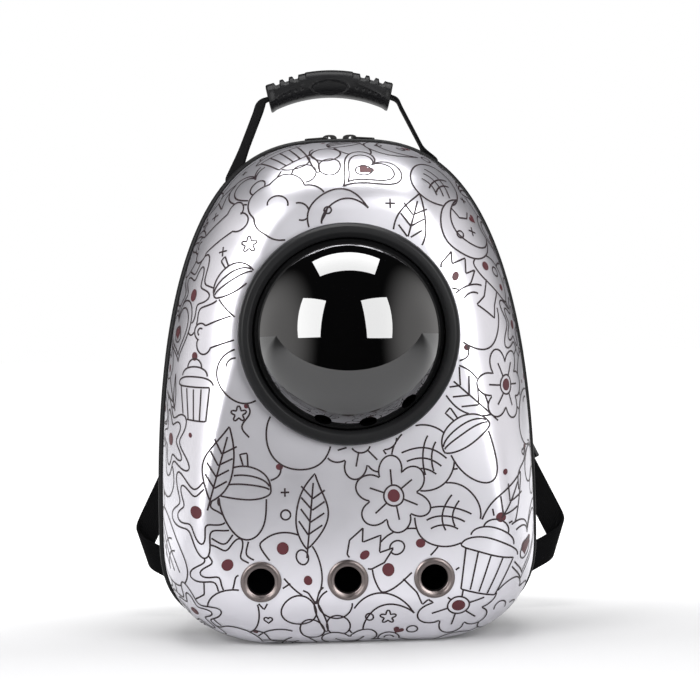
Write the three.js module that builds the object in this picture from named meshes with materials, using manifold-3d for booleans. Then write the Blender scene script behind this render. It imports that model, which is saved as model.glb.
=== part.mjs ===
// A hard-shell pet carrier backpack with a smoked bubble window, in millimetres, +Z up.
// The front faces -Y and +X is to the right of someone looking at the front.
// The origin is on the floor, under the middle of the zip seam that joins the two shells.
import * as THREE from "three";
import { mergeVertices } from "three/addons/utils/BufferGeometryUtils.js";
import Module from "manifold-3d";

const wasm = await Module();
wasm.setup();

// Clearances between pieces that touch on the real bag
const clearance = 0.3;
const turningClearance = 0.7;

// Outline of the shells' rims, seen from the front
const shellWidth = 307;
const shellHeight = 407.5;
const widestHeight = 90;
const footCut = 3;
const outlinePowerAcross = 3;
const outlinePowerUp = 2.35;
const outlinePowerDown = 3.25;

// The two moulded shells
const wall = 2.5;
const frontDepth = 100;
const backDepth = 75;
const frontRound = 62;
const frontRoundBelow = 44;
const backRound = 34;
const roundPower = 1.9;
const frontFlatBase = 55;
const backFlatBase = 45;
const crownRate = 0.00038;

// The seam between the shells: two piping beads, the zip tape and the hinge strip under it
const seamWidth = 34;
const beadDiameter = 6;
const beadProud = 4.6;
const tapeThickness = 1.6;
const hingeThickness = 3.4;
const hingeHalfLength = 66;
const chainWidth = 6;
const chainHeight = 2;

// Zip sliders and their pulls, which meet at the top of the seam
const sliderSpacing = 17;
const sliderLength = 12.5;
const sliderWidth = 11;
const sliderWallHeight = 5.4;
const sliderPlate = 2.2;
const bridgeHeight = 3.8;
const bridgeBar = 1.2;
const bridgeWidth = 2.2;
const bridgeSpan = 8.4;
const pullPivotInset = 2.5;
const pullLength = 20;
const pullWidth = 7.2;
const pullThickness = 1.2;
const pullBar = 1.4;
const pullEyeLength = 3.5;
const pullDroop = 4;

// Bubble window: a bezel clamped in the front shell, and the dome that turns in it
const windowHeight = 247.5;
const windowRadius = 81.5;
const bezelRadius = 87.2;
const bezelProud = 12;
const bezelOpening = 75;
const bezelBack = 9;
const bezelChamfer = 3.6;
const bezelShoulder = 1.2;
const bubbleWall = 2.5;
const bubbleFlange = 2.6;
const bubbleFlangeThickness = 2.4;
const bubbleFlangeHeight = 2.8;
const bubbleFootHeight = 9.6;
const bubbleHalfAngle = 68;
const bubbleVentRadius = 7;
const bubbleVentPolar = 60;
const bubbleVentSpacing = 29.4;
const bubbleVentTurn = 10.8;

// Vents along the foot of the front shell
const ventSpacing = 68;
const ventShift = -4.5;
const ventHeight = 55;
const ventHole = 21;
const ventOuter = 33;
const ventProud = 2.4;
const ventNeckWall = 1.2;
const ventNeckBack = 2;
const ventChamfer = 3.2;
const ventShoulder = 1.3;

// Carry handle
const handleShift = -7;
const handleBehindSeam = 30;
const webbingWidth = 25;
const webbingThickness = 2.2;
const gripRadius = 132;
const gripLength = 115;
const gripHeight = 23;
const gripWidth = 30;
const gripTopOverShells = 69;
const gripMiddleLength = 40;
const gripEndLean = 0.5;
const gripSquareness = 0.7;
const handleFoot = 20;
const handleFootBend = 1.5;
const handleSpread = 90.5;
const feetShift = -6.5;

// Back panel and shoulder straps
const panelInset = 49;
const panelThickness = 9;
const padWidth = 58;
const padThickness = 10;
const padTopOut = 42;
const padTopBelowShells = 77.5;
const padBulge = 75;
const padReach = 70;
const padEndGap = 0.8;
const padTipWidth = 30;
const padTipThickness = 4;
const strapWebWidth = 22;
const strapWebThickness = 2.2;
const foldPastShellLeft = 26.8;
const foldPastShellRight = 40;
const foldHeight = 63;
const foldRadius = 8;
const foldLeanAngle = 17.8;
const foldAngle = 45.8;
const foldUpperLength = 88;
const foldLowerLength = 72;
const buckleWidth = 32;
const buckleLength = 26;
const buckleThickness = 6;

// How finely round stretches are faceted
const outlineSteps = 52;
const roundSteps = 5;
const flatSteps = 2;
const beadSteps = 8;
const windowSteps = 34;
const ventSteps = 14;
const domeSteps = 6;

const seamY = seamWidth / 2;
const faceY = seamY + frontDepth;
const quarterTurn = Math.PI / 2;
const windowCentre = new THREE.Vector3(0, 0, windowHeight);
const across = new THREE.Vector3(1, 0, 0);
const backwards = new THREE.Vector3(0, 1, 0);
const degrees = THREE.MathUtils.degToRad;
const signedPower = (value, power) => Math.sign(value) * Math.abs(value) ** power;

// The rims' outline: two half superellipses that meet at the widest height, cut flat at the floor.
class RimOutline extends THREE.Curve {
  getPoint(t, target = new THREE.Vector3()) {
    const turn = t * Math.PI * 2 - quarterTurn;
    const rise = Math.sin(turn);
    const reach = rise > 0 ? shellHeight - widestHeight : widestHeight + footCut;
    const power = rise > 0 ? outlinePowerUp : outlinePowerDown;
    const x = (shellWidth / 2) * signedPower(Math.cos(turn), 2 / outlinePowerAcross);
    const z = widestHeight + reach * signedPower(rise, 2 / power);
    return target.set(x, 0, Math.max(z, 0));
  }
}
const rimOutline = new RimOutline();
rimOutline.arcLengthDivisions = 2400;
const rimLength = rimOutline.getLength();

// A station on the outline: its place, the way out of the bag, and how far it faces the floor, 0 to 1.
function stationAt(share) {
  const place = rimOutline.getPointAt(share);
  const along = rimOutline.getTangentAt(share);
  const out = new THREE.Vector3(along.z, 0, -along.x).normalize();
  return { place, out, down: Math.max(0, -out.z) ** 4 };
}
const wholeRim = Array.from({ length: outlineSteps }, (_, i) => stationAt(i / outlineSteps));

// The stations of the stretch over the arch, which stops short of the hinge strip at both ends.
function archStations(startLength) {
  const start = startLength / rimLength;
  const steps = outlineSteps - 5;
  return Array.from({ length: steps + 1 }, (_, i) => stationAt(start + ((1 - 2 * start) * i) / steps));
}

// The outline's station straight above a given x on the upper half.
function stationOver(x) {
  let low = 0.25;
  let high = 0.75;
  for (let i = 0; i < 40; i++) {
    const middle = (low + high) / 2;
    if (rimOutline.getPointAt(middle).x > x) low = middle;
    else high = middle;
  }
  return stationAt(low);
}

// Turns a closed geometry's faces round if they point inwards.
function facingOut(geometry) {
  const place = geometry.getAttribute("position");
  const index = geometry.index.array;
  const corner = (k) => new THREE.Vector3().fromBufferAttribute(place, index[k]);
  let volume = 0;
  for (let k = 0; k < index.length; k += 3) volume += corner(k).dot(corner(k + 1).cross(corner(k + 2)));
  if (volume < 0) {
    for (let k = 0; k < index.length; k += 3) [index[k], index[k + 1]] = [index[k + 1], index[k]];
  }
  return geometry;
}

// A closed geometry from rings of points. A loop joins its last ring to its first; any other loft is
// capped by a fan round the middle of each end ring.
function loft(rings, isLoop = false) {
  const size = rings[0].length;
  const points = rings.flat();
  const faces = [];
  const spans = isLoop ? rings.length : rings.length - 1;
  for (let r = 0; r < spans; r++) {
    for (let i = 0; i < size; i++) {
      const next = (i + 1) % size;
      const other = ((r + 1) % rings.length) * size;
      faces.push(r * size + i, r * size + next, other + next, r * size + i, other + next, other + i);
    }
  }
  if (!isLoop) {
    for (const r of [0, rings.length - 1]) {
      const middle = rings[r].reduce((sum, p) => sum.add(p), new THREE.Vector3()).divideScalar(size);
      points.push(middle);
      for (let i = 0; i < size; i++) {
        const pair = [r * size + i, r * size + ((i + 1) % size)];
        if (r === 0) pair.reverse();
        faces.push(...pair, points.length - 1);
      }
    }
  }
  return facingOut(new THREE.BufferGeometry().setFromPoints(points).setIndex(faces));
}

// Merges a geometry's corners by place alone and drops the faces that shrink to nothing.
function indexed(geometry) {
  const bare = new THREE.BufferGeometry();
  bare.setAttribute("position", geometry.getAttribute("position").clone());
  if (geometry.index) bare.setIndex(geometry.index.clone());
  const merged = mergeVertices(bare, 1e-4);
  const old = merged.index.array;
  const kept = [];
  for (let k = 0; k < old.length; k += 3) {
    const [a, b, c] = [old[k], old[k + 1], old[k + 2]];
    if (a !== b && b !== c && c !== a) kept.push(a, b, c);
  }
  return facingOut(merged.setIndex(kept));
}

function toSolid(geometry) {
  const closed = indexed(geometry);
  return new wasm.Manifold(
    new wasm.Mesh({
      numProp: 3,
      vertProperties: closed.getAttribute("position").array,
      triVerts: new Uint32Array(closed.index.array),
    }),
  );
}

function fromSolid(solid) {
  const mesh = solid.getMesh();
  const geometry = new THREE.BufferGeometry();
  geometry.setAttribute("position", new THREE.BufferAttribute(mesh.vertProperties, 3));
  return geometry.setIndex(new THREE.BufferAttribute(mesh.triVerts, 1));
}

const cutBy = (geometry, ...tools) =>
  fromSolid(tools.reduce((solid, tool) => solid.subtract(toSolid(tool)), toSolid(geometry)));
const joined = (first, ...others) =>
  fromSolid(others.reduce((solid, other) => solid.add(toSolid(other)), toSolid(first)));

// A piece turned round an axis that points forwards. Its profile is a list of [radius, height], with
// height measured forwards from y = 0, and it either runs from axis to axis or closes on itself.
function turned(profile, steps) {
  const points = profile.map(([radius, height]) => new THREE.Vector2(radius, -height));
  if (profile[0][0] > 0) points.push(points[0].clone());
  return indexed(new THREE.LatheGeometry(points, steps));
}

function box(x, y, z, sizeX, sizeY, sizeZ) {
  return new THREE.BoxGeometry(sizeX, sizeY, sizeZ).translate(x, y, z);
}

// A flat band that follows a curve. acrossAt, widthAt and thicknessAt take the share of its length.
function band(curve, steps, acrossAt, widthAt, thicknessAt) {
  const rings = [];
  for (let i = 0; i <= steps; i++) {
    const share = i / steps;
    const middle = curve.getPointAt(share);
    const along = curve.getTangentAt(share);
    const side = acrossAt(share).clone();
    side.addScaledVector(along, -side.dot(along)).setLength(widthAt(share) / 2);
    const face = along.clone().cross(side).setLength(thicknessAt(share) / 2);
    const corner = (s, f) => middle.clone().addScaledVector(side, s).addScaledVector(face, f);
    rings.push([corner(1, 1), corner(-1, 1), corner(-1, -1), corner(1, -1)]);
  }
  return loft(rings);
}

const finish = (color, roughness, metalness = 0, more = {}) =>
  new THREE.MeshStandardMaterial({ color, roughness, metalness, ...more });
const pearlShell = finish(0xd6d5dc, 0.3, 0.35);
const blackTrim = finish(0x19191b, 0.6);
const blackWebbing = finish(0x121214, 0.85);
const blackMesh = finish(0x1c1c1f, 0.95);
const bezelPlastic = finish(0x1f2022, 0.5);
const smokedDome = finish(0x0a0a0b, 0.05, 0, { transparent: true, opacity: 0.85 });
const gunmetal = finish(0x6f6762, 0.3, 0.9);
const gripRubber = finish(0x1b1b1d, 0.6);

const carrier = new THREE.Group();
function addPiece(name, geometry, material) {
  const mesh = new THREE.Mesh(geometry, material);
  mesh.name = name;
  carrier.add(mesh);
}

// The two shells' skins. side is -1 in front of the seam and 1 behind it. The face ends at a round
// opening, and stays flat as far as the seat round it.
const frontSkin = {
  side: -1,
  centre: windowCentre,
  opening: windowRadius,
  seat: bezelRadius + 1,
  depth: frontDepth,
  round: frontRound,
  roundBelow: frontRoundBelow,
  flatBase: frontFlatBase,
  crown: crownRate,
};
const backSkin = {
  side: 1,
  centre: new THREE.Vector3(0, 0, shellHeight / 2),
  opening: 30,
  seat: 40,
  depth: backDepth,
  round: backRound,
  roundBelow: backRound,
  flatBase: backFlatBase,
  crown: 0,
};

// A point of a shell's skin, inset from the outer one. turn runs from 0 at the rim to 1 at the end of
// the round-over, and flat from there to 1 at the opening.
function skinPoint(station, skin, inset, turn, flat = 0) {
  const outer = station.place;
  const start = outer.clone().addScaledVector(station.out, -inset);
  const hole = outer.clone().sub(skin.centre).setLength(skin.opening).add(skin.centre);
  const reach = start.distanceTo(hole);
  const wanted = THREE.MathUtils.lerp(skin.round, skin.roundBelow, station.down);
  const round = Math.min(wanted, outer.distanceTo(skin.centre) - skin.seat) - inset;
  const angle = turn * quarterTurn;
  const inward = round * (1 - Math.cos(angle) ** (2 / roundPower)) + (reach - round) * flat;
  const point = start.lerp(hole, inward / reach);
  const pastSeat = Math.max(point.distanceTo(skin.centre) - skin.seat, 0);
  const depth = skin.depth - inset - skin.crown * pastSeat ** 2;
  const straight = THREE.MathUtils.lerp(skin.depth * 0.04, skin.flatBase, station.down) / skin.depth;
  const sweep = straight + (1 - straight) * Math.sin(angle) ** (2 / roundPower);
  point.y = skin.side * (seamY + depth * sweep);
  return point;
}

// The rings of a skin, from its rim to its opening.
function skinRings(skin, inset) {
  const rings = [wholeRim.map((station) => skinPoint(station, skin, inset, 0).setY(skin.side * seamY))];
  for (let r = 0; r < roundSteps; r++) {
    rings.push(wholeRim.map((station) => skinPoint(station, skin, inset, r / roundSteps)));
  }
  for (let f = 0; f <= flatSteps; f++) {
    rings.push(wholeRim.map((station) => skinPoint(station, skin, inset, 1, f / flatSteps)));
  }
  return rings;
}

// Where the front skin's face is at a place seen from the front, and the way out of it there.
function frontFace(x, z) {
  const fromCentre = new THREE.Vector3(x, 0, z).sub(windowCentre);
  const pastSeat = Math.max(fromCentre.length() - frontSkin.seat, 0);
  const point = new THREE.Vector3(x, crownRate * pastSeat ** 2 - faceY, z);
  const out = fromCentre.setLength(2 * crownRate * pastSeat).setY(-1).normalize();
  return { point, out };
}

// Front shell, with the window opening and the three vent holes
const forwards = new THREE.Vector3(0, -1, 0);
const ventPlaces = [-1, 0, 1].map((step) => frontFace(ventShift + step * ventSpacing, ventHeight));
const standOn = (geometry, { point, out }) =>
  geometry.applyQuaternion(new THREE.Quaternion().setFromUnitVectors(forwards, out)).translate(...point);
const ventNeck = ventHole / 2 + ventNeckWall;
const ventCut = ventNeck + clearance;
const ventCutter = () => new THREE.CylinderGeometry(ventCut, ventCut, 8 * wall, ventSteps);
addPiece(
  "front_shell",
  cutBy(
    loft([...skinRings(frontSkin, 0), ...skinRings(frontSkin, wall).reverse()], true),
    ...ventPlaces.map((place) => standOn(ventCutter(), place)),
  ),
  pearlShell,
);

// Back shell, closed behind
addPiece("back_shell", loft([...skinRings(backSkin, 0).reverse(), ...skinRings(backSkin, wall)]), pearlShell);

// Piping beads along both rims, which sink level with the floor under the bag
const beadRadius = beadDiameter / 2;
const beadY = seamY - clearance - beadRadius;
function bead(side) {
  const rings = wholeRim.map(({ place, out, down }) => {
    const offset = THREE.MathUtils.lerp(beadProud - beadRadius, -beadRadius, down);
    const middle = place.clone().addScaledVector(out, offset).setY(side * beadY);
    return Array.from({ length: beadSteps }, (_, i) => {
      const angle = ((i + 0.5) * 2 * Math.PI) / beadSteps;
      const step = out.clone().multiplyScalar(beadRadius * Math.cos(angle));
      return middle.clone().add(step).addScaledVector(backwards, beadRadius * Math.sin(angle));
    });
  });
  return loft(rings, true);
}
addPiece("front_piping", bead(-1), blackTrim);
addPiece("back_piping", bead(1), blackTrim);

// A flat strip along the outline between two offsets from it and two places across the seam. Like
// the beads, it sinks where the outline meets the floor.
const chainTop = clearance + chainHeight;
function seamStrip(stretch, inner, outer, fromY, toY) {
  return loft(
    stretch.map(({ place, out, down }) => {
      const sunk = down * (chainTop + clearance);
      const corner = (offset, y) => place.clone().addScaledVector(out, offset - sunk).setY(y);
      return [corner(inner, fromY), corner(outer, fromY), corner(outer, toY), corner(inner, toY)];
    }),
  );
}
const tapeEdge = beadY - beadRadius - clearance;
const arch = archStations(hingeHalfLength + clearance);
addPiece("zip_tape_front", seamStrip(arch, -tapeThickness, 0, -tapeEdge, -clearance / 2), blackWebbing);
addPiece("zip_tape_back", seamStrip(arch, -tapeThickness, 0, clearance / 2, tapeEdge), blackWebbing);
addPiece("zip_chain", seamStrip(arch, clearance, chainTop, -chainWidth / 2, chainWidth / 2), gunmetal);
addPiece(
  "hinge_strip",
  box(0, 0, hingeThickness / 2, 2 * hingeHalfLength, 2 * tapeEdge, hingeThickness),
  blackWebbing,
);

// Zip sliders, which straddle the chain at the top of the arch, and the pulls on their bridges
const sliderBase = shellHeight + clearance;
const sliderTop = sliderBase + sliderWallHeight;
const pivotHeight = sliderTop + (bridgeHeight - bridgeBar) / 2;
const pivotReach = bridgeSpan / 2 - pullPivotInset;
function slider(side) {
  const x = (side * sliderSpacing) / 2;
  const middle = sliderBase + sliderWallHeight / 2;
  const channelTop = sliderTop - sliderPlate;
  const channelHeight = channelTop - sliderBase + 1;
  const body = cutBy(
    box(x, 0, middle, sliderLength, sliderWidth, sliderWallHeight),
    box(x, 0, channelTop - channelHeight / 2, sliderLength + 2, chainWidth + 2 * clearance, channelHeight),
  );
  const sunk = 0.5;
  const bridge = cutBy(
    box(x, 0, sliderTop + (bridgeHeight - sunk) / 2, bridgeSpan, bridgeWidth, bridgeHeight + sunk),
    box(x, 0, sliderTop + (bridgeHeight - bridgeBar) / 2, bridgeSpan - 2 * bridgeBar, bridgeWidth + 2,
      bridgeHeight - bridgeBar),
  );
  return joined(body, bridge);
}
function pull(side) {
  const plate = box(pullLength / 2 - pullBar / 2, 0, 0, pullLength, pullWidth, pullThickness);
  const eyeWidth = bridgeWidth + 4 * clearance;
  const eye = box((pullBar + pullEyeLength) / 2, 0, 0, pullEyeLength, eyeWidth, 2 * pullThickness);
  return cutBy(plate, eye)
    .rotateY(degrees(pullDroop))
    .scale(side, 1, 1)
    .translate(side * (sliderSpacing / 2 + pivotReach), 0, pivotHeight);
}
for (const [side, word] of [[-1, "left"], [1, "right"]]) {
  addPiece(`zip_slider_${word}`, slider(side), gunmetal);
  addPiece(`zip_pull_${word}`, indexed(pull(side)), gunmetal);
}

// Bubble window: the bezel holds the dome's flange in a groove
const grooveRadius = bezelOpening - turningClearance + bubbleFlange + turningClearance;
const domeFoot = bezelOpening - turningClearance;
const grooveFront = bubbleFlangeHeight + bubbleFlangeThickness + turningClearance;
const grooveBack = bubbleFlangeHeight - turningClearance;
const bezelProfile = [
  [bezelOpening, -bezelBack],
  [windowRadius - clearance, -bezelBack],
  [windowRadius - clearance, clearance],
  [bezelRadius, clearance],
  [bezelRadius, bezelProud * 0.55],
  [bezelRadius - bezelShoulder, bezelProud * 0.82],
  [bezelRadius - bezelChamfer, bezelProud],
  [bezelOpening + bezelChamfer, bezelProud],
  [bezelOpening, bezelProud * 0.8],
  [bezelOpening, grooveFront],
  [grooveRadius, grooveFront],
  [grooveRadius, grooveBack],
  [bezelOpening, grooveBack],
].map(([radius, height]) => [radius, faceY + height]);
addPiece("window_bezel", turned(bezelProfile, windowSteps).translate(...windowCentre), bezelPlastic);

const domeRadius = domeFoot / Math.sin(degrees(bubbleHalfAngle));
const domeCentre = bubbleFootHeight - domeRadius * Math.cos(degrees(bubbleHalfAngle));
const innerDome = domeRadius - bubbleWall;
const innerFoot = domeFoot - bubbleWall;
const innerHalfAngle = Math.asin(innerFoot / innerDome);
function domeArc(radius, halfAngle) {
  return Array.from({ length: domeSteps + 1 }, (_, i) => {
    const angle = (halfAngle * i) / domeSteps;
    return [radius * Math.sin(angle), faceY + domeCentre + radius * Math.cos(angle)];
  });
}
const flangeTop = faceY + bubbleFlangeHeight + bubbleFlangeThickness;
const flangeBottom = faceY + bubbleFlangeHeight;
const domeProfile = [
  ...domeArc(domeRadius, degrees(bubbleHalfAngle)),
  [domeFoot, flangeTop],
  [domeFoot + bubbleFlange, flangeTop],
  [domeFoot + bubbleFlange, flangeBottom],
  [innerFoot, flangeBottom],
  ...domeArc(innerDome, innerHalfAngle).reverse(),
];
const domeVents = [-1, 0, 1].map((step) => {
  const out = new THREE.Vector3(0, -1, 0)
    .applyAxisAngle(across, degrees(bubbleVentPolar))
    .applyAxisAngle(forwards, degrees(bubbleVentTurn + step * bubbleVentSpacing));
  const middle = new THREE.Vector3(0, -faceY - domeCentre, windowHeight);
  const cutter = new THREE.CylinderGeometry(bubbleVentRadius, bubbleVentRadius, 8 * bubbleWall, ventSteps);
  return standOn(cutter, { point: out.clone().multiplyScalar(domeRadius).add(middle), out });
});
addPiece(
  "bubble",
  cutBy(turned(domeProfile, windowSteps).translate(...windowCentre), ...domeVents),
  smokedDome,
);

// Metal vents through the foot of the front shell
const ventProfile = [
  [ventHole / 2, -wall - ventNeckBack],
  [ventNeck, -wall - ventNeckBack],
  [ventNeck, clearance],
  [ventOuter / 2, clearance],
  [ventOuter / 2, ventProud * 0.45],
  [ventOuter / 2 - ventShoulder, ventProud * 0.9],
  [ventOuter / 2 - ventChamfer, ventProud],
  [ventHole / 2, ventProud * 0.5],
];
["left", "middle", "right"].forEach((word, i) => {
  addPiece(`vent_${word}`, indexed(standOn(turned(ventProfile, ventSteps), ventPlaces[i])), gunmetal);
});

// Carry handle: one length of webbing from foot to foot, through the moulded grip
const handleY = seamY + handleBehindSeam - webbingWidth / 2;
const gripMiddleZ = shellHeight + gripTopOverShells - gripHeight / 2;
const gripAxis = gripRadius - gripHeight / 2;
const gripHalfAngle = Math.asin(gripLength / 2 / gripRadius);
function gripPoint(angle) {
  const x = handleShift + gripAxis * Math.sin(angle);
  return new THREE.Vector3(x, handleY, gripMiddleZ - gripAxis * (1 - Math.cos(angle)));
}
class GripArc extends THREE.Curve {
  constructor(halfAngle) {
    super();
    this.halfAngle = halfAngle;
  }
  getPoint(t, target = new THREE.Vector3()) {
    return target.copy(gripPoint(this.halfAngle * (2 * t - 1)));
  }
}
function footPoint(reach) {
  const { place, out } = stationOver(feetShift + reach);
  return place.clone().addScaledVector(out, clearance + webbingThickness / 2).setY(handleY);
}
function legPoints(side) {
  const bend = footPoint(side * handleSpread);
  const gripEnd = gripPoint(side * gripHalfAngle * 1.12);
  const onLeg = (share) => bend.clone().lerp(gripEnd, share);
  return [
    footPoint(side * (handleSpread + handleFoot)),
    footPoint(side * (handleSpread + handleFoot / 2)),
    footPoint(side * (handleSpread + handleFootBend)),
    onLeg(0.1),
    onLeg(0.5),
    onLeg(0.88),
    gripEnd,
  ];
}
const throughGrip = [-1, -0.5, 0, 0.5, 1].map((share) => gripPoint(share * gripHalfAngle));
const webbingPath = new THREE.CatmullRomCurve3(
  [...legPoints(-1), ...throughGrip, ...legPoints(1).reverse()],
  false,
  "centripetal",
);
const always = (value) => () => value;
addPiece(
  "handle_webbing",
  band(webbingPath, 44, always(backwards), always(webbingWidth), always(webbingThickness)),
  blackWebbing,
);

const gripSections = [
  { along: 0, swell: 0.98 },
  { along: 0.035, swell: 1.06 },
  { along: 0.1, swell: 1.0 },
  { along: 0.3, swell: 0.94 },
  { along: (1 - gripMiddleLength / gripLength) / 2, swell: 0.94 },
  { along: (1 - gripMiddleLength / gripLength) / 2 + 0.02, swell: 1 },
  { along: 0.5, swell: 1 },
];
const mirrored = gripSections.slice(0, -1).reverse().map(({ along, swell }) => ({ along: 1 - along, swell }));
function gripRings() {
  const corners = 14;
  return [...gripSections, ...mirrored].map(({ along, swell }) => {
    const angle = gripHalfAngle * (2 * along - 1);
    const middle = gripPoint(angle);
    const lean = angle * gripEndLean;
    const out = new THREE.Vector3(Math.sin(lean), 0, Math.cos(lean));
    return Array.from({ length: corners }, (_, i) => {
      const turn = ((i + 0.5) * 2 * Math.PI) / corners;
      const up = (gripHeight / 2) * swell * signedPower(Math.cos(turn), gripSquareness);
      const back = (gripWidth / 2) * swell * signedPower(Math.sin(turn), gripSquareness);
      return middle.clone().addScaledVector(out, up).addScaledVector(backwards, back);
    });
  });
}
const gripSlot = band(
  new GripArc(gripHalfAngle * 1.1),
  24,
  always(backwards),
  always(webbingWidth + 2 * clearance),
  always(webbingThickness + 5 * clearance),
);
addPiece("handle_grip", cutBy(loft(gripRings()), gripSlot), gripRubber);

// Padded panel on the back
const panelRings = [
  { height: clearance, inset: 0 },
  { height: panelThickness * 0.7, inset: 0 },
  { height: panelThickness, inset: panelThickness * 0.4 },
].map(({ height, inset }) =>
  wholeRim.map(({ place, out }) =>
    place.clone().addScaledVector(out, -panelInset - inset).setY(seamY + backDepth + clearance + height),
  ),
);
addPiece("back_panel", loft(panelRings), blackMesh);

// Shoulder straps. The webbing hangs in a flat loop at each side: the lower branch comes out from under
// the shell's back, turns round a slanted fold and goes up behind it to the buckle.
const backY = seamY + backDepth;
const lowerLayerY = backY + clearance + strapWebThickness / 2;
const foldMiddleY = lowerLayerY + foldRadius;
const halfTurn = Math.PI * foldRadius;
function foldFrame(side, foldOut) {
  const lean = degrees(foldLeanAngle);
  const outward = new THREE.Vector3(side * Math.cos(lean), 0, -Math.sin(lean));
  const crease = new THREE.Vector3(side * Math.sin(lean), 0, Math.cos(lean));
  const tip = new THREE.Vector3(side * foldOut, foldMiddleY, foldHeight);
  return { outward, crease, middle: tip.addScaledVector(outward, -foldRadius) };
}

// A place on the webbing: u runs round the fold from the upper branch to the lower one, v up the crease.
function onWebbing({ outward, crease, middle }, u, v, lift) {
  const turn = THREE.MathUtils.clamp(u / foldRadius, 0, Math.PI);
  const flat = u < 0 ? u : Math.max(u - halfTurn, 0);
  const face = backwards.clone().multiplyScalar(Math.cos(turn)).addScaledVector(outward, Math.sin(turn));
  const point = middle.clone().addScaledVector(crease, v).addScaledVector(face, foldRadius + lift);
  return point.addScaledVector(outward, u < 0 ? flat : -flat);
}
const slope = degrees(foldAngle);
const webbingU = (s) => halfTurn / 2 + s * Math.cos(slope);
const webbingV = (s) => -s * Math.sin(slope);
function strapWebbing(frame, from, to, width, thickness) {
  const section = (s, slant) => {
    const corner = (edge, lift) => {
      const shift = (edge * slant * Math.tan(slope) * width) / 2;
      const u = webbingU(s - shift) + (edge * Math.sin(slope) * width) / 2;
      const v = webbingV(s - shift) + (edge * Math.cos(slope) * width) / 2;
      return onWebbing(frame, u, v, (lift * thickness) / 2);
    };
    return [corner(1, 1), corner(-1, 1), corner(-1, -1), corner(1, -1)];
  };
  const foldSteps = 6;
  const roundLength = halfTurn / Math.cos(slope);
  const round = Array.from({ length: foldSteps + 1 }, (_, i) => roundLength * (i / foldSteps - 0.5));
  return loft([section(from, 0), ...round.map((s) => section(s, 1)), section(to, 0)]);
}

// Where the webbing's upper branch is at s, and its directions there.
function upperBranch(frame, s) {
  const point = onWebbing(frame, webbingU(s), webbingV(s), 0);
  const along = point.clone().sub(onWebbing(frame, webbingU(s - 1), webbingV(s - 1), 0)).normalize();
  const side = backwards.clone().cross(along).normalize();
  return { point, along, side };
}

function strapBuckle(frame) {
  const { point, along, side } = upperBranch(frame, -foldUpperLength);
  const place = new THREE.Matrix4().makeBasis(side, along, side.clone().cross(along)).setPosition(point);
  const body = new THREE.BoxGeometry(buckleWidth, buckleLength, buckleThickness).applyMatrix4(place);
  const slot = new THREE.BoxGeometry(
    strapWebWidth + 2 * clearance,
    buckleLength + 2,
    strapWebThickness + 2 * clearance,
  ).applyMatrix4(place);
  return cutBy(body, slot);
}

function shoulderPad(frame, side) {
  const lowEnd = upperBranch(frame, -foldUpperLength - buckleLength / 2 - padEndGap);
  const topY = backY + clearance + panelThickness + padEndGap;
  const topEnd = new THREE.Vector3(side * padTopOut, topY, shellHeight - padTopBelowShells);
  const path = new THREE.CubicBezierCurve3(
    lowEnd.point,
    lowEnd.point.clone().addScaledVector(lowEnd.along, -padReach).addScaledVector(backwards, padBulge * 0.3),
    topEnd.clone().addScaledVector(backwards, padBulge),
    topEnd,
  );
  const spread = (share) => THREE.MathUtils.smoothstep(share, 0.02, 0.35);
  return band(
    path,
    18,
    (share) => lowEnd.side.clone().lerp(across.clone().negate(), spread(share)),
    (share) => THREE.MathUtils.lerp(padTipWidth, padWidth, spread(share)),
    (share) => THREE.MathUtils.lerp(padTipThickness, padThickness, spread(share)),
  );
}

for (const [side, word, pastShell] of [[-1, "left", foldPastShellLeft], [1, "right", foldPastShellRight]]) {
  const frame = foldFrame(side, shellWidth / 2 + pastShell);
  const web = strapWebbing(frame, -foldUpperLength, foldLowerLength, strapWebWidth, strapWebThickness);
  addPiece(`strap_web_${word}`, web, blackWebbing);
  addPiece(`strap_buckle_${word}`, strapBuckle(frame), gripRubber);
  addPiece(`shoulder_pad_${word}`, shoulderPad(frame, side), blackMesh);
}

export default carrier;
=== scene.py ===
"""Looks of the bubble pet carrier backpack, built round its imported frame. Everything is in metres."""

import math
import random

import bmesh
import bpy
import numpy as np
from mathutils import Matrix, Vector


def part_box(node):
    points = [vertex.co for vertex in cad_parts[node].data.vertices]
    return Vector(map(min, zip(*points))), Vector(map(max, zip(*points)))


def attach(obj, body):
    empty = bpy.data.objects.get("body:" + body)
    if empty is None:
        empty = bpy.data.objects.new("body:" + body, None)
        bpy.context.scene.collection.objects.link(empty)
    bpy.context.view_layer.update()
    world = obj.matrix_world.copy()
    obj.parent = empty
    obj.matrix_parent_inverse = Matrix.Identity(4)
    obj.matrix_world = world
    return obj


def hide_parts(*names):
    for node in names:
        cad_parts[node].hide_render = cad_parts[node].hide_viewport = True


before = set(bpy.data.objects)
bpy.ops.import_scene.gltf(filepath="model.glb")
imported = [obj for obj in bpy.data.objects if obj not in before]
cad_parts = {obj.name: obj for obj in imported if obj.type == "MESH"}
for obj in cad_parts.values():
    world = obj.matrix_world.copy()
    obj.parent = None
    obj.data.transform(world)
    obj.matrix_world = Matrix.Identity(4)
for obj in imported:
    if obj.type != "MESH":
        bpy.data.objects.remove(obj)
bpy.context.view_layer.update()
ROOT = "shells"

# The rims' outline, as half superellipses that meet at the widest height
WIDEST_HEIGHT = 0.090
FOOT_CUT = 0.003
POWER_ACROSS, POWER_UP, POWER_DOWN = 3.0, 2.35, 3.25

# The shells' round-overs
WALL = 0.0025
ROUND_POWER = 1.9
FRONT_ROUND, FRONT_ROUND_BELOW, BACK_ROUND = 0.062, 0.044, 0.034
FRONT_FLAT_BASE, BACK_FLAT_BASE = 0.055, 0.045
CROWN_RATE = 0.38
SHALLOWEST_STRAIGHT = 0.04

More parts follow.
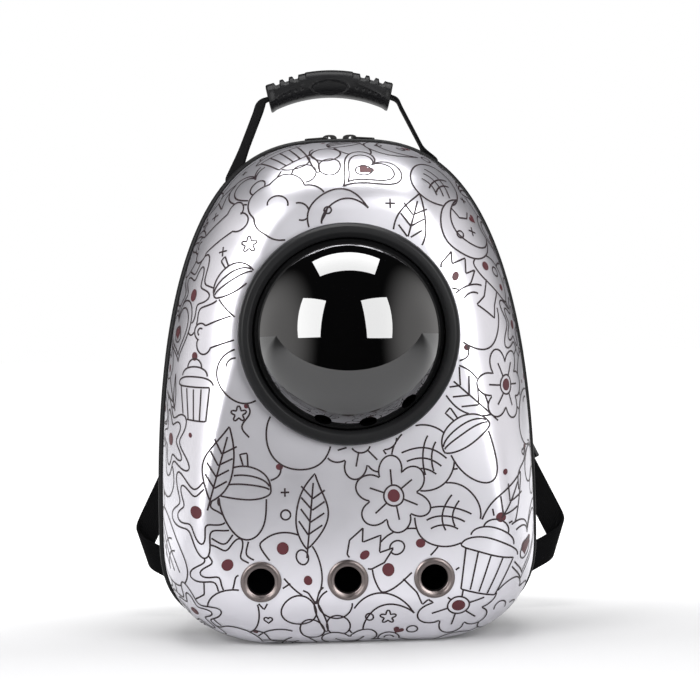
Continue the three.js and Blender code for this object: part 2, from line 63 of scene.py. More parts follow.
# Small hardware
CLEARANCE = 0.0003
BEAD_RADIUS = 0.003
BEAD_PROUD = 0.0046
PANEL_INSET = 0.049

front_low, front_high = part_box("front_shell")
back_low, back_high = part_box("back_shell")
SHELL_WIDTH = front_high.x - front_low.x
SHELL_HEIGHT = front_high.z
SEAM_Y = back_low.y
FRONT_DEPTH = -front_low.y - SEAM_Y
BACK_DEPTH = back_high.y - SEAM_Y
FACE_Y = SEAM_Y + FRONT_DEPTH
BACK_Y = back_high.y
bezel_low, bezel_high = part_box("window_bezel")
WINDOW = Vector((0, 0, (bezel_low.z + bezel_high.z) / 2))
BEZEL_RADIUS = (bezel_high.x - bezel_low.x) / 2
WINDOW_RADIUS = 0.0815
vent_low, vent_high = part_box("vent_middle")
VENT_HEIGHT = (vent_low.z + vent_high.z) / 2
VENT_OUTER = (vent_high.x - vent_low.x) / 2
VENT_HOLE = 0.0105
RING_SEAT = BEZEL_RADIUS + 0.001
BODY_MIDDLE = np.array([0, 0, 0.2])
UP_Y = np.array([0, 1.0, 0])


def signed_power(value, power):
    return np.sign(value) * np.abs(value) ** power


def unit(vectors):
    return vectors / np.maximum(np.linalg.norm(vectors, axis=-1, keepdims=True), 1e-12)


def smoothstep(low, high, value):
    share = np.clip((value - low) / (high - low), 0, 1)
    return share * share * (3 - 2 * share)


def lengths(line):
    """How far along a line each of its points is."""
    return np.concatenate([[0], np.cumsum(np.linalg.norm(np.diff(line, axis=0), axis=1))])


def evenly(line, count):
    """The same line as so many points, at even steps of length."""
    length = lengths(line)
    marks = np.linspace(0, length[-1], count)
    return np.stack([np.interp(marks, length, line[:, k]) for k in range(line.shape[1])], axis=-1)


def cloth_uvs(profile, distance):
    """UVs in metres for each point of a loft: round its profile and along its line."""
    return np.stack(np.broadcast_arrays(lengths(profile)[None], distance[:, None]), axis=-1).reshape(-1, 2)


def with_y(flat, y):
    """Places in space from flat ones, which hold x and z."""
    return np.stack([flat[..., 0], np.broadcast_to(y, flat[..., 0].shape), flat[..., 1]], axis=-1)


def ways_of(line, across):
    """The unit ways across and out of a band along a line, at each of its points."""
    along = unit(np.gradient(line, axis=0))
    side = unit(across - along * np.sum(across * along, axis=1, keepdims=True))
    return side, np.cross(along, side)


def rim_outline(turn):
    """Points of the rims' outline, as x and z, for angles that start under the bag."""
    rise = np.sin(turn - np.pi / 2)
    reach = np.where(rise > 0, SHELL_HEIGHT - WIDEST_HEIGHT, WIDEST_HEIGHT + FOOT_CUT)
    power = np.where(rise > 0, POWER_UP, POWER_DOWN)
    x = SHELL_WIDTH / 2 * signed_power(np.cos(turn - np.pi / 2), 2 / POWER_ACROSS)
    z = WIDEST_HEIGHT + reach * signed_power(rise, 2 / power)
    return np.stack([x, np.maximum(z, 0)], axis=-1)


class Rim:
    """Stations at even steps of length round the outline: place, the way out, and how far down it faces."""

    def __init__(self, count):
        dense = rim_outline(np.linspace(0, 2 * np.pi, 20001))
        length = lengths(dense)
        self.length = length[-1]

        def at(distance):
            distance = np.mod(distance, self.length)
            return np.stack([np.interp(distance, length, dense[:, k]) for k in (0, 1)], axis=-1)

        self.at = at
        self.distance = np.arange(count) * self.length / count
        self.place, self.out, self.down = self.stations(self.distance)

    def stations(self, distance):
        delta = 0.0004
        along = unit(self.at(distance + delta) - self.at(distance - delta))
        out = np.stack([along[:, 1], -along[:, 0]], axis=-1)
        return self.at(distance), out, np.maximum(0, -out[:, 1]) ** 4


RIM_COUNT = 320
rim = Rim(RIM_COUNT)


def link(obj):
    bpy.context.scene.collection.objects.link(obj)
    return obj


def build(name, verts, faces, materials, body=ROOT, smooth=40, uvs=None, material_index=None, closed=True):
    """A mesh object from arrays, with its edges sharper than smooth degrees kept sharp."""
    mesh = bpy.data.meshes.new(name)
    places = [tuple(place) for place in np.asarray(verts, float)]
    mesh.from_pydata(places, [], [tuple(int(i) for i in face) for face in faces])
    for material in materials:
        mesh.materials.append(material)
    if material_index is not None:
        mesh.polygons.foreach_set("material_index", np.asarray(material_index, np.int32))
    if uvs is not None:
        layer = mesh.uv_layers.new(name="UVMap")
        corners = np.zeros(len(mesh.loops), np.int32)
        mesh.loops.foreach_get("vertex_index", corners)
        layer.data.foreach_set("uv", np.asarray(uvs, np.float32)[corners].ravel())
    mesh.update()
    obj = link(bpy.data.objects.new(name, mesh))
    if closed:
        outward(obj)
    shade(obj, smooth)
    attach(obj, body)
    return obj


def outward(obj):
    """Points a closed mesh's faces out."""
    shape = bmesh.new()
    shape.from_mesh(obj.data)
    bmesh.ops.recalc_face_normals(shape, faces=shape.faces)
    shape.to_mesh(obj.data)
    shape.free()


def shade(obj, angle):
    for polygon in obj.data.polygons:
        polygon.use_smooth = True
    obj.data.set_sharp_from_angle(angle=math.radians(angle))


def ring_faces(rows, size, is_loop=False, caps=True):
    """Faces of a loft whose rings are closed, by index."""
    faces = []
    spans = rows if is_loop else rows - 1
    for r in range(spans):
        a, b = r * size, (r + 1) % rows * size
        for i in range(size):
            j = (i + 1) % size
            faces.append((a + i, a + j, b + j, b + i))
    if caps and not is_loop:
        faces.append(tuple(range(size)))
        faces.append(tuple(range((rows - 1) * size, rows * size)))
    return faces


def loft(name, rings, materials, is_loop=False, **more):
    rings = np.asarray(rings, float)
    rows, size = rings.shape[:2]
    return build(name, rings.reshape(-1, 3), ring_faces(rows, size, is_loop), materials, **more)


def rounded(corners, radius, steps=4):
    """A closed profile with each corner turned into a small arc of about that radius."""
    corners = np.asarray(corners, float)
    points = []
    for i, corner in enumerate(corners):
        before, after = corners[i - 1] - corner, corners[(i + 1) % len(corners)] - corner
        reach = min(radius, np.linalg.norm(before) * 0.45, np.linalg.norm(after) * 0.45)
        start, end = corner + unit(before) * reach, corner + unit(after) * reach
        for k in range(steps + 1):
            t = k / steps
            points.append((1 - t) ** 2 * start + 2 * t * (1 - t) * corner + t * t * end)
    return np.array(points)


def turned_rings(profile, steps):
    """Rings round an axis that points forwards, from a profile of radius and height in front of y = 0."""
    angle = np.arange(steps) * 2 * np.pi / steps
    radius, height = profile[:, 0][None], profile[:, 1][None]
    x, z = radius * np.sin(angle)[:, None], radius * np.cos(angle)[:, None]
    return np.stack([x, -height + 0 * x, z], axis=-1)


def apply_all(obj):
    """Replaces an object's mesh by what its modifiers make of it."""
    bpy.context.view_layer.update()
    shown = obj.evaluated_get(bpy.context.evaluated_depsgraph_get())
    mesh = bpy.data.meshes.new_from_object(shown)
    obj.modifiers.clear()
    obj.data = mesh


def make_cutter(create, matrix, **sizes):
    """A solid to cut with, made by one of bmesh's own operators."""
    mesh = bpy.data.meshes.new("cutter")
    shape = bmesh.new()
    create(shape, **sizes)
    shape.to_mesh(mesh)
    shape.free()
    cutter = link(bpy.data.objects.new("cutter", mesh))
    cutter.matrix_world = matrix
    return cutter


def cylinder_cutter(point, out, radius, length, sides=64):
    turn = Vector((0, 0, 1)).rotation_difference(Vector(out)).to_matrix().to_4x4()
    matrix = Matrix.Translation(Vector(point)) @ turn
    sizes = {"radius1": radius, "radius2": radius, "depth": length, "segments": sides}
    return make_cutter(bmesh.ops.create_cone, matrix, cap_ends=True, **sizes)


def box_cutter(span_x, span_y, height):
    middle = Vector((sum(span_x) / 2, sum(span_y) / 2, 0))
    size = Matrix.Diagonal((span_x[1] - span_x[0], span_y[1] - span_y[0], height, 1))
    return make_cutter(bmesh.ops.create_cube, Matrix.Translation(middle) @ size, size=1)


def cut(obj, cutters):
    for cutter in cutters:
        modifier = obj.modifiers.new("cut", "BOOLEAN")
        modifier.object = cutter
        modifier.operation = "DIFFERENCE"
        modifier.solver = "EXACT"
    apply_all(obj)
    for cutter in cutters:
        bpy.data.objects.remove(cutter)


def stand_in(piece, node):
    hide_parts(node)
    return piece


# Materials
def new_material(name, color, roughness, metallic=0.0, **sockets):
    material = bpy.data.materials.new(name)
    material.use_nodes = True
    shader = material.node_tree.nodes["Principled BSDF"]
    shader.inputs["Base Color"].default_value = (*color, 1)
    shader.inputs["Roughness"].default_value = roughness
    shader.inputs["Metallic"].default_value = metallic
    for socket, value in sockets.items():
        shader.inputs[socket.replace("_", " ")].default_value = value
    return material, material.node_tree.nodes, material.node_tree.links, shader


def texture_node(nodes, kind, **values):
    node = nodes.new(f"ShaderNode{kind}")
    for name, value in values.items():
        if name in node.inputs:
            node.inputs[name].default_value = value
        else:
            setattr(node, name, value)
    return node


def add_bump(nodes, links, shader, height, strength, distance):
    bump = texture_node(nodes, "Bump", Strength=strength, Distance=distance)
    links.new(height, bump.inputs["Height"])
    links.new(bump.outputs["Normal"], shader.inputs["Normal"])


def vary(nodes, links, source, low, high, target):
    """Drives a socket from a 0 to 1 value, between two values."""
    span = texture_node(nodes, "MapRange")
    span.inputs["To Min"].default_value = low
    span.inputs["To Max"].default_value = high
    links.new(source, span.inputs["Value"])
    links.new(span.outputs["Result"], target)


def vary_smoothly(nodes, links, source, span, levels, target):
    """Drives a socket from a value: it goes from one level to the other as the value crosses the span."""
    step = texture_node(nodes, "MapRange", interpolation_type="SMOOTHSTEP")
    for socket, value in zip(("From Min", "From Max", "To Min", "To Max"), (*span, *levels)):
        step.inputs[socket].default_value = value
    links.new(source, step.inputs["Value"])
    links.new(step.outputs["Result"], target)


def add_painted_shade(nodes, links, shader, source, dark, light):
    """Drives the base colour from a 0 to 1 value, between two colours. Both uses feed it a bump's height,
    so it paints shade into the hollows and a lighter colour onto the raised tops.
    """
    shade_mix = nodes.new("ShaderNodeMix")
    shade_mix.data_type = "RGBA"
    shade_mix.inputs[6].default_value = (*dark, 1)
    shade_mix.inputs[7].default_value = (*light, 1)
    links.new(source, shade_mix.inputs[0])
    links.new(shade_mix.outputs[2], shader.inputs["Base Color"])


def object_noise(nodes, links, scale, detail=4.0):
    place = nodes.new("ShaderNodeTexCoord")
    noise = texture_node(nodes, "TexNoise", Scale=scale, Detail=detail)
    links.new(place.outputs["Object"], noise.inputs["Vector"])
    return noise.outputs["Fac"]


def make_pearl():
    material, nodes, links, shader = new_material("pearl_shell", (0.7, 0.69, 0.735), 0.34, 0.88)
    vary(nodes, links, object_noise(nodes, links, 30), 0.3, 0.38, shader.inputs["Roughness"])
    add_bump(nodes, links, shader, object_noise(nodes, links, 260, 2), 0.05, 0.0003)
    return material


def make_ink(name, color):
    material, nodes, links, shader = new_material(name, color, 0.42, Specular_IOR_Level=0.25)
    vary(nodes, links, object_noise(nodes, links, 400), 0.34, 0.5, shader.inputs["Roughness"])
    return material


def make_plastic(name, color, roughness, grain=900, depth=0.00012):
    material, nodes, links, shader = new_material(name, color, roughness, Specular_IOR_Level=0.16)
    add_bump(nodes, links, shader, object_noise(nodes, links, grain, 3), 0.35, depth)
    spread = (roughness - 0.06, roughness + 0.08)
    vary(nodes, links, object_noise(nodes, links, 60), *spread, shader.inputs["Roughness"])
    return material


def make_metal(name, color, roughness):
    material, nodes, links, shader = new_material(name, color, roughness, 1.0)
    spread = (roughness - 0.07, roughness + 0.1)
    vary(nodes, links, object_noise(nodes, links, 220), *spread, shader.inputs["Roughness"])
    return material


def make_bubble():
    sockets = {"Coat_Weight": 1.0, "Coat_Roughness": 0.015, "IOR": 1.57, "Transmission_Weight": 0.35}
    return new_material("smoked_dome", (0.0012, 0.0012, 0.0013), 0.02, **sockets)[0]


def make_weave(name, color, across_pitch, along_pitch, roughness=0.85, sheen=0.05):
    """Woven cloth: ribs that run both ways along the piece's own UV directions, which are in metres."""
    material, nodes, links, shader = new_material(name, color, roughness, Specular_IOR_Level=0.08)
    shader.inputs["Sheen Weight"].default_value = sheen
    place = nodes.new("ShaderNodeUVMap")
    place.uv_map = "UVMap"
    heights = []
    for axis, pitch in (("X", across_pitch), ("Y", along_pitch)):
        scale = math.pi / 10 / pitch
        wave = texture_node(nodes, "TexWave", bands_direction=axis, Scale=scale, Distortion=0.0)
        links.new(place.outputs["UV"], wave.inputs["Vector"])
        heights.append(wave.outputs["Fac"])
    both = texture_node(nodes, "Math", operation="MULTIPLY")
    links.new(heights[0], both.inputs[0])
    links.new(heights[1], both.inputs[1])
    add_bump(nodes, links, shader, both.outputs[0], 0.8, 0.0004)
    # Painted shade: the cloth's colour darkens in the weave's hollows and lightens on its raised yarns,
    # following the bump's height.
    add_painted_shade(nodes, links, shader, both.outputs[0], [c * 0.55 for c in color], [c * 1.7 for c in color])
    return material


def make_air_mesh():
    """Padded mesh fabric: rows of small round eyelets."""
    grey = (0.02, 0.02, 0.022)
    material, nodes, links, shader = new_material("air_mesh", grey, 0.9, Specular_IOR_Level=0.2)
    shader.inputs["Sheen Weight"].default_value = 0.08
    place = nodes.new("ShaderNodeTexCoord")
    cells = texture_node(nodes, "TexVoronoi", Scale=420.0)
    cells.inputs["Randomness"].default_value = 0.15
    links.new(place.outputs["Object"], cells.inputs["Vector"])
    add_bump(nodes, links, shader, cells.outputs["Distance"], 0.9, 0.0008)
    # Painted shade: the mesh darkens in its sunken eyelets and lightens on the rims between them, following
    # the bump's height.
    add_painted_shade(nodes, links, shader, cells.outputs["Distance"], (0.004, 0.004, 0.005), (0.035, 0.035, 0.038))
    return material


pearl = make_pearl()
# The inner fabric is made near black rather than its own grey: partly real colour, partly painted shade
# inside the cabin.
lining_and_painted_shade = make_plastic("cabin_lining_and_painted_shade", (0.01, 0.01, 0.012), 0.9)
line_ink = make_ink("line_ink", (0.02, 0.013, 0.015))
maroon_ink = make_ink("maroon_ink", (0.06, 0.014, 0.018))
bezel_black = make_plastic("bezel_black", (0.006, 0.0061, 0.0066), 0.42, 1400, 0.0001)
piping_black = make_plastic("piping_black", (0.003, 0.003, 0.0034), 0.45, 1800, 0.00015)
grip_black = make_plastic("grip_rubber", (0.003, 0.003, 0.0034), 0.42, 1100, 0.00012)
buckle_black = make_plastic("buckle_black", (0.016, 0.016, 0.017), 0.4, 900, 0.0001)
vent_metal = make_metal("vent_metal", (0.17, 0.145, 0.14), 0.3)
zip_metal = make_metal("zip_metal", (0.035, 0.034, 0.034), 0.34)
smoked = make_bubble()
webbing = make_weave("webbing", (0.0024, 0.0024, 0.0027), 0.0016, 0.0011, sheen=0.0)
tape_cloth = make_weave("zip_tape", (0.01, 0.01, 0.011), 0.0008, 0.0008)
air_mesh = make_air_mesh()
webbing_plain = make_plastic("binding_cloth", (0.011, 0.011, 0.012), 0.8, 2600, 0.0002)


# Shells
class Skin:
    """A shell's outer skin as a grid of points, from its rim to its opening, round the rim's stations."""

    def __init__(self, side, centre, opening, seat, depth, round_, round_below, flat_base, crown):
        self.side, self.centre, self.opening = side, np.array(centre), opening
        place, down = rim.place, rim.down
        gap = place - self.centre
        self.reach = np.linalg.norm(gap, axis=1)
        self.away = gap / self.reach[:, None]
        wanted = round_ + (round_below - round_) * down
        curve = np.minimum(wanted, self.reach - seat)
        straight = (depth * SHALLOWEST_STRAIGHT * (1 - down) + flat_base * down) / depth

        def row(turn, flat):
            angle = turn * np.pi / 2
            face = self.reach - curve - opening
            inward = curve * (1 - np.cos(angle) ** (2 / ROUND_POWER)) + face * flat
            radius = self.reach - inward
            full = depth - crown * np.maximum(radius - seat, 0) ** 2
            sweep = straight + (1 - straight) * np.sin(angle) ** (2 / ROUND_POWER)
            flat_place = self.centre + self.away * radius[:, None]
            return with_y(flat_place, side * (SEAM_Y + full * sweep))

        rows = [with_y(place, side * SEAM_Y)]
        rows += [row(turn, 0.0) for turn in np.linspace(0, 1, 31)]
        rows += [row(1.0, flat) for flat in np.linspace(0, 1, 15)[1:]]
        self.grid = np.array(rows)
        self.normal = self.normals()
        self.sheet()

    def normals(self):
        along = np.gradient(self.grid, axis=0)
        around = np.roll(self.grid, -1, axis=1) - np.roll(self.grid, 1, axis=1)
        normal = unit(np.cross(around, along))
        towards = np.sum(normal * (self.grid - BODY_MIDDLE), axis=-1)
        return normal * np.sign(np.sum(towards))

    def sheet(self, step=0.001):
        """Positions and normals at even steps of length from the opening, for laying the print on."""
        grid, normal = self.grid[::-1], self.normal[::-1]
        steps = np.linalg.norm(np.diff(grid, axis=0), axis=-1)
        length = np.concatenate([np.zeros((1, grid.shape[1])), np.cumsum(steps, axis=0)])
        self.sheet_step = step
        self.sheet_length = length[-1]
        marks = np.arange(int(length[-1].max() / step) + 2) * step
        self.sheet_place = np.zeros((grid.shape[1], len(marks), 3))
        self.sheet_normal = np.zeros_like(self.sheet_place)
        for i in range(grid.shape[1]):
            for k in range(3):
                self.sheet_place[i, :, k] = np.interp(marks, length[:, i], grid[:, i, k])
                self.sheet_normal[i, :, k] = np.interp(marks, length[:, i], normal[:, i, k])
        self.sheet_angle = np.unwrap(np.arctan2(self.away[:, 0], -self.away[:, 1]))

    def lay(self, points):
        """Flat print points, measured from the centre, on the skin: places, normals and the length left."""
        radius = np.linalg.norm(points, axis=1)
        angle = np.mod(np.arctan2(points[:, 0], -points[:, 1]) - self.sheet_angle[0], 2 * np.pi)
        known = np.append(self.sheet_angle - self.sheet_angle[0], 2 * np.pi)
        station = np.interp(angle, known, np.arange(len(known)))
        mark = np.clip((radius - self.opening) / self.sheet_step, 0, self.sheet_place.shape[1] - 1.001)
        i, k = np.floor(station).astype(int), np.floor(mark).astype(int)
        s, t = (station - i)[:, None], (mark - k)[:, None]
        i, j = i % RIM_COUNT, (i + 1) % RIM_COUNT

        def blend(table):
            near = table[i, k] * (1 - t) + table[i, k + 1] * t
            far = table[j, k] * (1 - t) + table[j, k + 1] * t
            return near * (1 - s) + far * s

        left = self.sheet_length[i] - (radius - self.opening)
        return blend(self.sheet_place), unit(blend(self.sheet_normal)), left


front_skin = Skin(-1, (0, WINDOW.z), WINDOW_RADIUS, RING_SEAT, FRONT_DEPTH,
                  FRONT_ROUND, FRONT_ROUND_BELOW, FRONT_FLAT_BASE, CROWN_RATE)
back_skin = Skin(1, (0, SHELL_HEIGHT / 2), 0.03, 0.04, BACK_DEPTH,
                 BACK_ROUND, BACK_ROUND, BACK_FLAT_BASE, 0.0)


def front_face(x, z):
    """Where the front's face is at a place seen from the front, and the way out of it."""
    from_window = Vector((x, 0, z)) - WINDOW
    past = max(from_window.length - RING_SEAT, 0)
    point = Vector((x, CROWN_RATE * past**2 - FACE_Y, z))
    slope = from_window.normalized() * (2 * CROWN_RATE * past)
    return point, Vector((slope.x, -1, slope.z)).normalized()


def vent_place(word):
    low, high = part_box(f"vent_{word}")
    return front_face((low.x + high.x) / 2, VENT_HEIGHT)


vent_places = [vent_place(word) for word in ("left", "middle", "right")]


def make_shell(name, skin, closed):
    """A shell of even wall, pearl outside and on its edges. The inner faces are near black: partly the real
    inner fabric, partly painted shade.
    """
    outer = skin.grid
    inner = outer - skin.normal * WALL
    inner[0] = outer[0] - with_y(rim.out, 0.0) * WALL
    inner[..., 1] = skin.side * np.maximum(skin.side * inner[..., 1], SEAM_Y)
    rows = np.concatenate([outer[::-1], inner] if closed else [outer, inner[::-1]])
    count, size = rows.shape[:2]
    faces = ring_faces(count, size, is_loop=not closed, caps=closed)
    skin_faces = (len(outer) - 1) * size
    index = np.zeros(len(faces), int)
    index[skin_faces + size: 2 * skin_faces + size] = 1
    if closed:
        index[-1] = 1
    return build(name, rows.reshape(-1, 3), faces, [pearl, lining_and_painted_shade], smooth=50, material_index=index)


shell_front = make_shell("shell_front", front_skin, False)
cut(shell_front, [cylinder_cutter(point, out, VENT_HOLE + 0.0016, 0.03) for point, out in vent_places])
stand_in(shell_front, "front_shell")
stand_in(make_shell("shell_back", back_skin, True), "back_shell")


def rim_bead(name, outline, offset, middle_y, reach, rise, sides, material):
    """A bead all round an outline like the rims', from its half width and its half depth."""
    rows = []
    for angle in np.arange(sides) * 2 * np.pi / sides:
        place = outline + rim.out * (offset + reach * np.cos(angle))[:, None]
        rows.append(with_y(place, middle_y + rise * np.sin(angle)))
    return loft(name, np.array(rows).transpose(1, 0, 2), [material], is_loop=True)


def make_piping(word, side):
    middle_y = side * (SEAM_Y - CLEARANCE - BEAD_RADIUS)
    offset = (BEAD_PROUD - BEAD_RADIUS) * (1 - rim.down) - BEAD_RADIUS * rim.down
    name = f"piping_bead_{word}"
    bead = rim_bead(name, rim.place, offset, middle_y, BEAD_RADIUS, BEAD_RADIUS, 16, piping_black)
    stand_in(bead, f"{word}_piping")


make_piping("front", -1)
make_piping("back", 1)


# Camera, lights, floor and world
CAMERA_TURN = -2.1
CAMERA_ROLL = 1.2
CAMERA_DISTANCE = 1.55
CAMERA_TARGET = Vector((0.005, 0, 0.235))
FRAME_WIDTH = 0.5915
SENSOR_WIDTH = 36

# Each softbox: its name, its azimuth and elevation from the dome, its size across and up, and its power
SOFTBOX_DISTANCE = 1.3
SOFTBOXES = (
    ("softbox_left", -45, 17, 0.64, 0.94, 19),
    ("softbox_right", 33, 16, 0.7, 1.0, 20),
    ("softbox_top", 0, 88, 1.2, 0.66, 21),
)


def make_camera():
    data = bpy.data.cameras.new("camera")
    data.sensor_width = SENSOR_WIDTH
    data.lens = SENSOR_WIDTH * CAMERA_DISTANCE / FRAME_WIDTH
    data.clip_start = 0.05
    data.clip_end = 60
    camera = link(bpy.data.objects.new("camera", data))
    turn = math.radians(CAMERA_TURN)
    away = Vector((math.sin(turn), -math.cos(turn), 0))
    camera.location = CAMERA_TARGET + CAMERA_DISTANCE * away
    look = (CAMERA_TARGET - camera.location).to_track_quat("-Z", "Y").to_matrix().to_4x4()
    roll = Matrix.Rotation(math.radians(-CAMERA_ROLL), 4, "Z")
    camera.matrix_world = Matrix.Translation(camera.location) @ look @ roll
    bpy.context.scene.camera = camera


def make_light(name, azimuth, elevation, size, size_up, power):
    """A softbox that faces the dome, placed by its direction from it."""
    data = bpy.data.lights.new(name, "AREA")
    data.shape = "RECTANGLE"
    data.size, data.size_y = size, size_up
    data.energy = power
    light = link(bpy.data.objects.new(name, data))
    turn, rise = math.radians(azimuth), math.radians(elevation)
    away = Vector((math.sin(turn) * math.cos(rise), -math.cos(turn) * math.cos(rise), math.sin(rise)))
    target = Vector((0, -0.1, WINDOW.z))
    light.location = target + away * SOFTBOX_DISTANCE
    light.rotation_euler = (target - light.location).to_track_quat("-Z", "Y").to_euler()


def make_floor():
    """A pale floor with painted light: it glows, from almost nothing near the bag to full white some way
    behind it.
    """
    mesh = bpy.data.meshes.new("floor")
    corners = [(-40, -0.42, 0), (40, -0.42, 0), (40, 60, 0), (-40, 60, 0)]
    mesh.from_pydata(corners, [], [(0, 1, 2, 3)])
    floor = link(bpy.data.objects.new("floor", mesh))
    grey = (0.5, 0.5, 0.505)
    material, nodes, links, shader = new_material("pale_floor", grey, 0.8, Specular_IOR_Level=0.1)
    shader.inputs["Emission Color"].default_value = (1, 1, 1, 1)
    spot = nodes.new("ShaderNodeTexCoord")
    reach = nodes.new("ShaderNodeSeparateXYZ")
    links.new(spot.outputs["Object"], reach.inputs[0])
    # Painted light: the floor glows though it is no lamp, more strongly the further back it lies.
    glow = shader.inputs["Emission Strength"]
    vary_smoothly(nodes, links, reach.outputs["Y"], (-0.1, 0.45), (0.03, 1.0), glow)
    mesh.materials.append(material)


def mix_skies(nodes, links, share, first, second):
    mix = nodes.new("ShaderNodeMixShader")
    links.new(share, mix.inputs["Fac"])
    links.new(first.outputs[0], mix.inputs[1])
    links.new(second.outputs[0], mix.inputs[2])
    return mix


def make_world():
    """A soft white room. In reflections only its two side walls are bright."""
    world = bpy.data.worlds.new("studio")
    bpy.context.scene.world = world
    world.use_nodes = True
    nodes, links = world.node_tree.nodes, world.node_tree.links
    soft = nodes["Background"]
    seen = nodes.new("ShaderNodeBackground")
    mirrored = nodes.new("ShaderNodeBackground")
    white, warm = (1, 1, 1), (1, 0.98, 0.97)
    for sky, color, strength in ((soft, white, 0.28), (seen, white, 1.0), (mirrored, warm, 1.0)):
        sky.inputs["Color"].default_value = (*color, 1)
        sky.inputs["Strength"].default_value = strength
    way = nodes.new("ShaderNodeTexCoord")
    parts = nodes.new("ShaderNodeSeparateXYZ")
    links.new(way.outputs["Generated"], parts.inputs[0])
    sideways = texture_node(nodes, "Math", operation="ABSOLUTE")
    links.new(parts.outputs["X"], sideways.inputs[0])
    walls = mirrored.inputs["Strength"]
    vary_smoothly(nodes, links, sideways.outputs[0], (0.55, 0.95), (0.006, 0.9), walls)
    path = nodes.new("ShaderNodeLightPath")
    gloss = mix_skies(nodes, links, path.outputs["Is Glossy Ray"], soft, mirrored)
    view = mix_skies(nodes, links, path.outputs["Is Camera Ray"], gloss, seen)
    links.new(view.outputs[0], nodes["World Output"].inputs["Surface"])
    bpy.context.scene.view_settings.view_transform = "Standard"


def make_stage():
    for softbox in SOFTBOXES:
        make_light(*softbox)
    make_floor()
    make_world()


# Seam: woven tapes, the chain's teeth and the fabric hinge
HINGE_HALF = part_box("hinge_strip")[1].x
CHAIN_HEIGHT = 0.002
TAPE_THICKNESS = 0.0016
TAPE_EDGE = SEAM_Y - 2 * CLEARANCE - 2 * BEAD_RADIUS
TOOTH_PAIRS = 430


def arch_line(count):
    """Stations over the arch, from one end of the hinge to the other."""
    start = HINGE_HALF + CLEARANCE
    distance = np.linspace(start, rim.length - start, count)
    place, out, down = rim.stations(distance)
    return distance, place - out * (down * (CHAIN_HEIGHT + 2 * CLEARANCE))[:, None], out


def make_tapes():
    distance, place, out = arch_line(500)
    for word, low, high in (("front", -TAPE_EDGE, -CLEARANCE / 2), ("back", CLEARANCE / 2, TAPE_EDGE)):
        corners = [(-TAPE_THICKNESS, low), (0, low), (0, high), (-TAPE_THICKNESS, high)]
        profile = rounded(corners, 0.0004, 2)
        rings = with_y(place[:, None] + out[:, None] * profile[None, :, :1], profile[None, :, 1])
        tape = loft(f"zip_tape_woven_{word}", rings, [tape_cloth], uvs=cloth_uvs(profile, distance))
        stand_in(tape, f"zip_tape_{word}")


def make_chain():
    """The closed chain: teeth from either side by turns, each narrower on top."""
    verts, faces = [], []
    _, place, out = arch_line(4 * TOOTH_PAIRS)
    along = (rim.length / (4 * TOOTH_PAIRS)) * 0.43 * 2
    rows = ((CLEARANCE, 1.0), (CLEARANCE + 0.0013, 1.0), (CLEARANCE + CHAIN_HEIGHT, 0.6))
    for k in range(2 * TOOTH_PAIRS):
        i = 2 * k
        side = -1 if k % 2 else 1
        tangent = np.array([-out[i, 1], out[i, 0]])
        base = len(verts)
        for offset, share in rows:
            near, far = side * (0.0018 - 0.0022 * share - 0.0006), side * (0.0006 + 0.0024 * share)
            for step, y in ((-1, near), (1, near), (1, far), (-1, far)):
                at = place[i] + out[i] * offset + tangent * step * along * share / 2
                verts.append((at[0], y, at[1]))
        faces += [tuple(base + v for v in face) for face in ring_faces(3, 4)]
    teeth = build("zip_chain_teeth", verts, faces, [zip_metal], smooth=20)
    stand_in(teeth, "zip_chain")


def make_hinge():
    low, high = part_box("hinge_strip")
    corners = [(low.y, low.z), (high.y, low.z), (high.y, high.z), (low.y, high.z)]
    profile = rounded(corners, 0.0011, 4)
    x = np.linspace(low.x, high.x, 60)
    rings = np.array([[(at, y, z) for y, z in profile] for at in x])
    woven = loft("hinge_strip_woven", rings, [webbing], uvs=cloth_uvs(profile, x))
    stand_in(woven, "hinge_strip")


class Parts:
    """Collects simple solids for one object."""

    def __init__(self):
        self.verts, self.faces = [], []

    def add(self, verts, faces):
        base = len(self.verts)
        self.verts += [tuple(v) for v in verts]
        self.faces += [tuple(base + i for i in face) for face in faces]

    def stack(self, layers):
        """Closed outlines above one another, as (outline, height)."""
        rings = [[(x, y, z) for x, y in outline] for outline, z in layers]
        self.add([v for ring in rings for v in ring], ring_faces(len(rings), len(rings[0])))

    def tube(self, path, radius, sides):
        angle = np.arange(sides) * 2 * np.pi / sides
        rings = []
        for point, way in zip(path, unit(np.gradient(path, axis=0))):
            side = UP_Y - way * way[1]
            side = side / np.linalg.norm(side)
            face = np.cross(way, side)
            rings.append(point + radius * (side * np.cos(angle)[:, None] + face * np.sin(angle)[:, None]))
        self.add(np.array(rings).reshape(-1, 3), ring_faces(len(rings), sides))


def slab(corners, radius, low, high, edge=0.0004, steps=5):
    """Layers of a slab with rounded corners and softened edges."""
    outline = rounded(corners, radius, steps)
    middle = outline.mean(axis=0)

    def shrunk(by):
        size = np.abs(outline - middle).max(axis=0)
        return middle + (outline - middle) * (1 - by / size)

    return [
        (shrunk(edge), low), (shrunk(edge * 0.3), low + edge * 0.3), (shrunk(0), low + edge),
        (shrunk(0), high - edge), (shrunk(edge * 0.3), high - edge * 0.3), (shrunk(edge), high),
    ]


def rectangle(x, y, size_x, size_y):
    a, b = size_x / 2, size_y / 2
    return [(x - a, y - b), (x + a, y - b), (x + a, y + b), (x - a, y + b)]


# Sliders and pulls. An arch stands on each slider, with a small eye that the pull's bar runs in.
SLIDER_TOP, SLIDER_PLATE = 0.0054, 0.0022
ARCH_REACH, ARCH_RISE, ARCH_SUNK, ARCH_EDGE = 0.0061, 0.0038, 0.0004, 0.0003
EYE_SHIFT, EYE_REACH, EYE_RISE = 0.0010, 0.0019, 0.0022
PULL_LENGTH, PULL_WIDTH, PULL_THICKNESS = 0.020, 0.0072, 0.0012
PULL_END, PULL_WAIST = 0.0007, 0.0062
PULL_DROOP = 4
PIVOT_ACROSS, PIVOT_RISE = 0.0102, 0.007


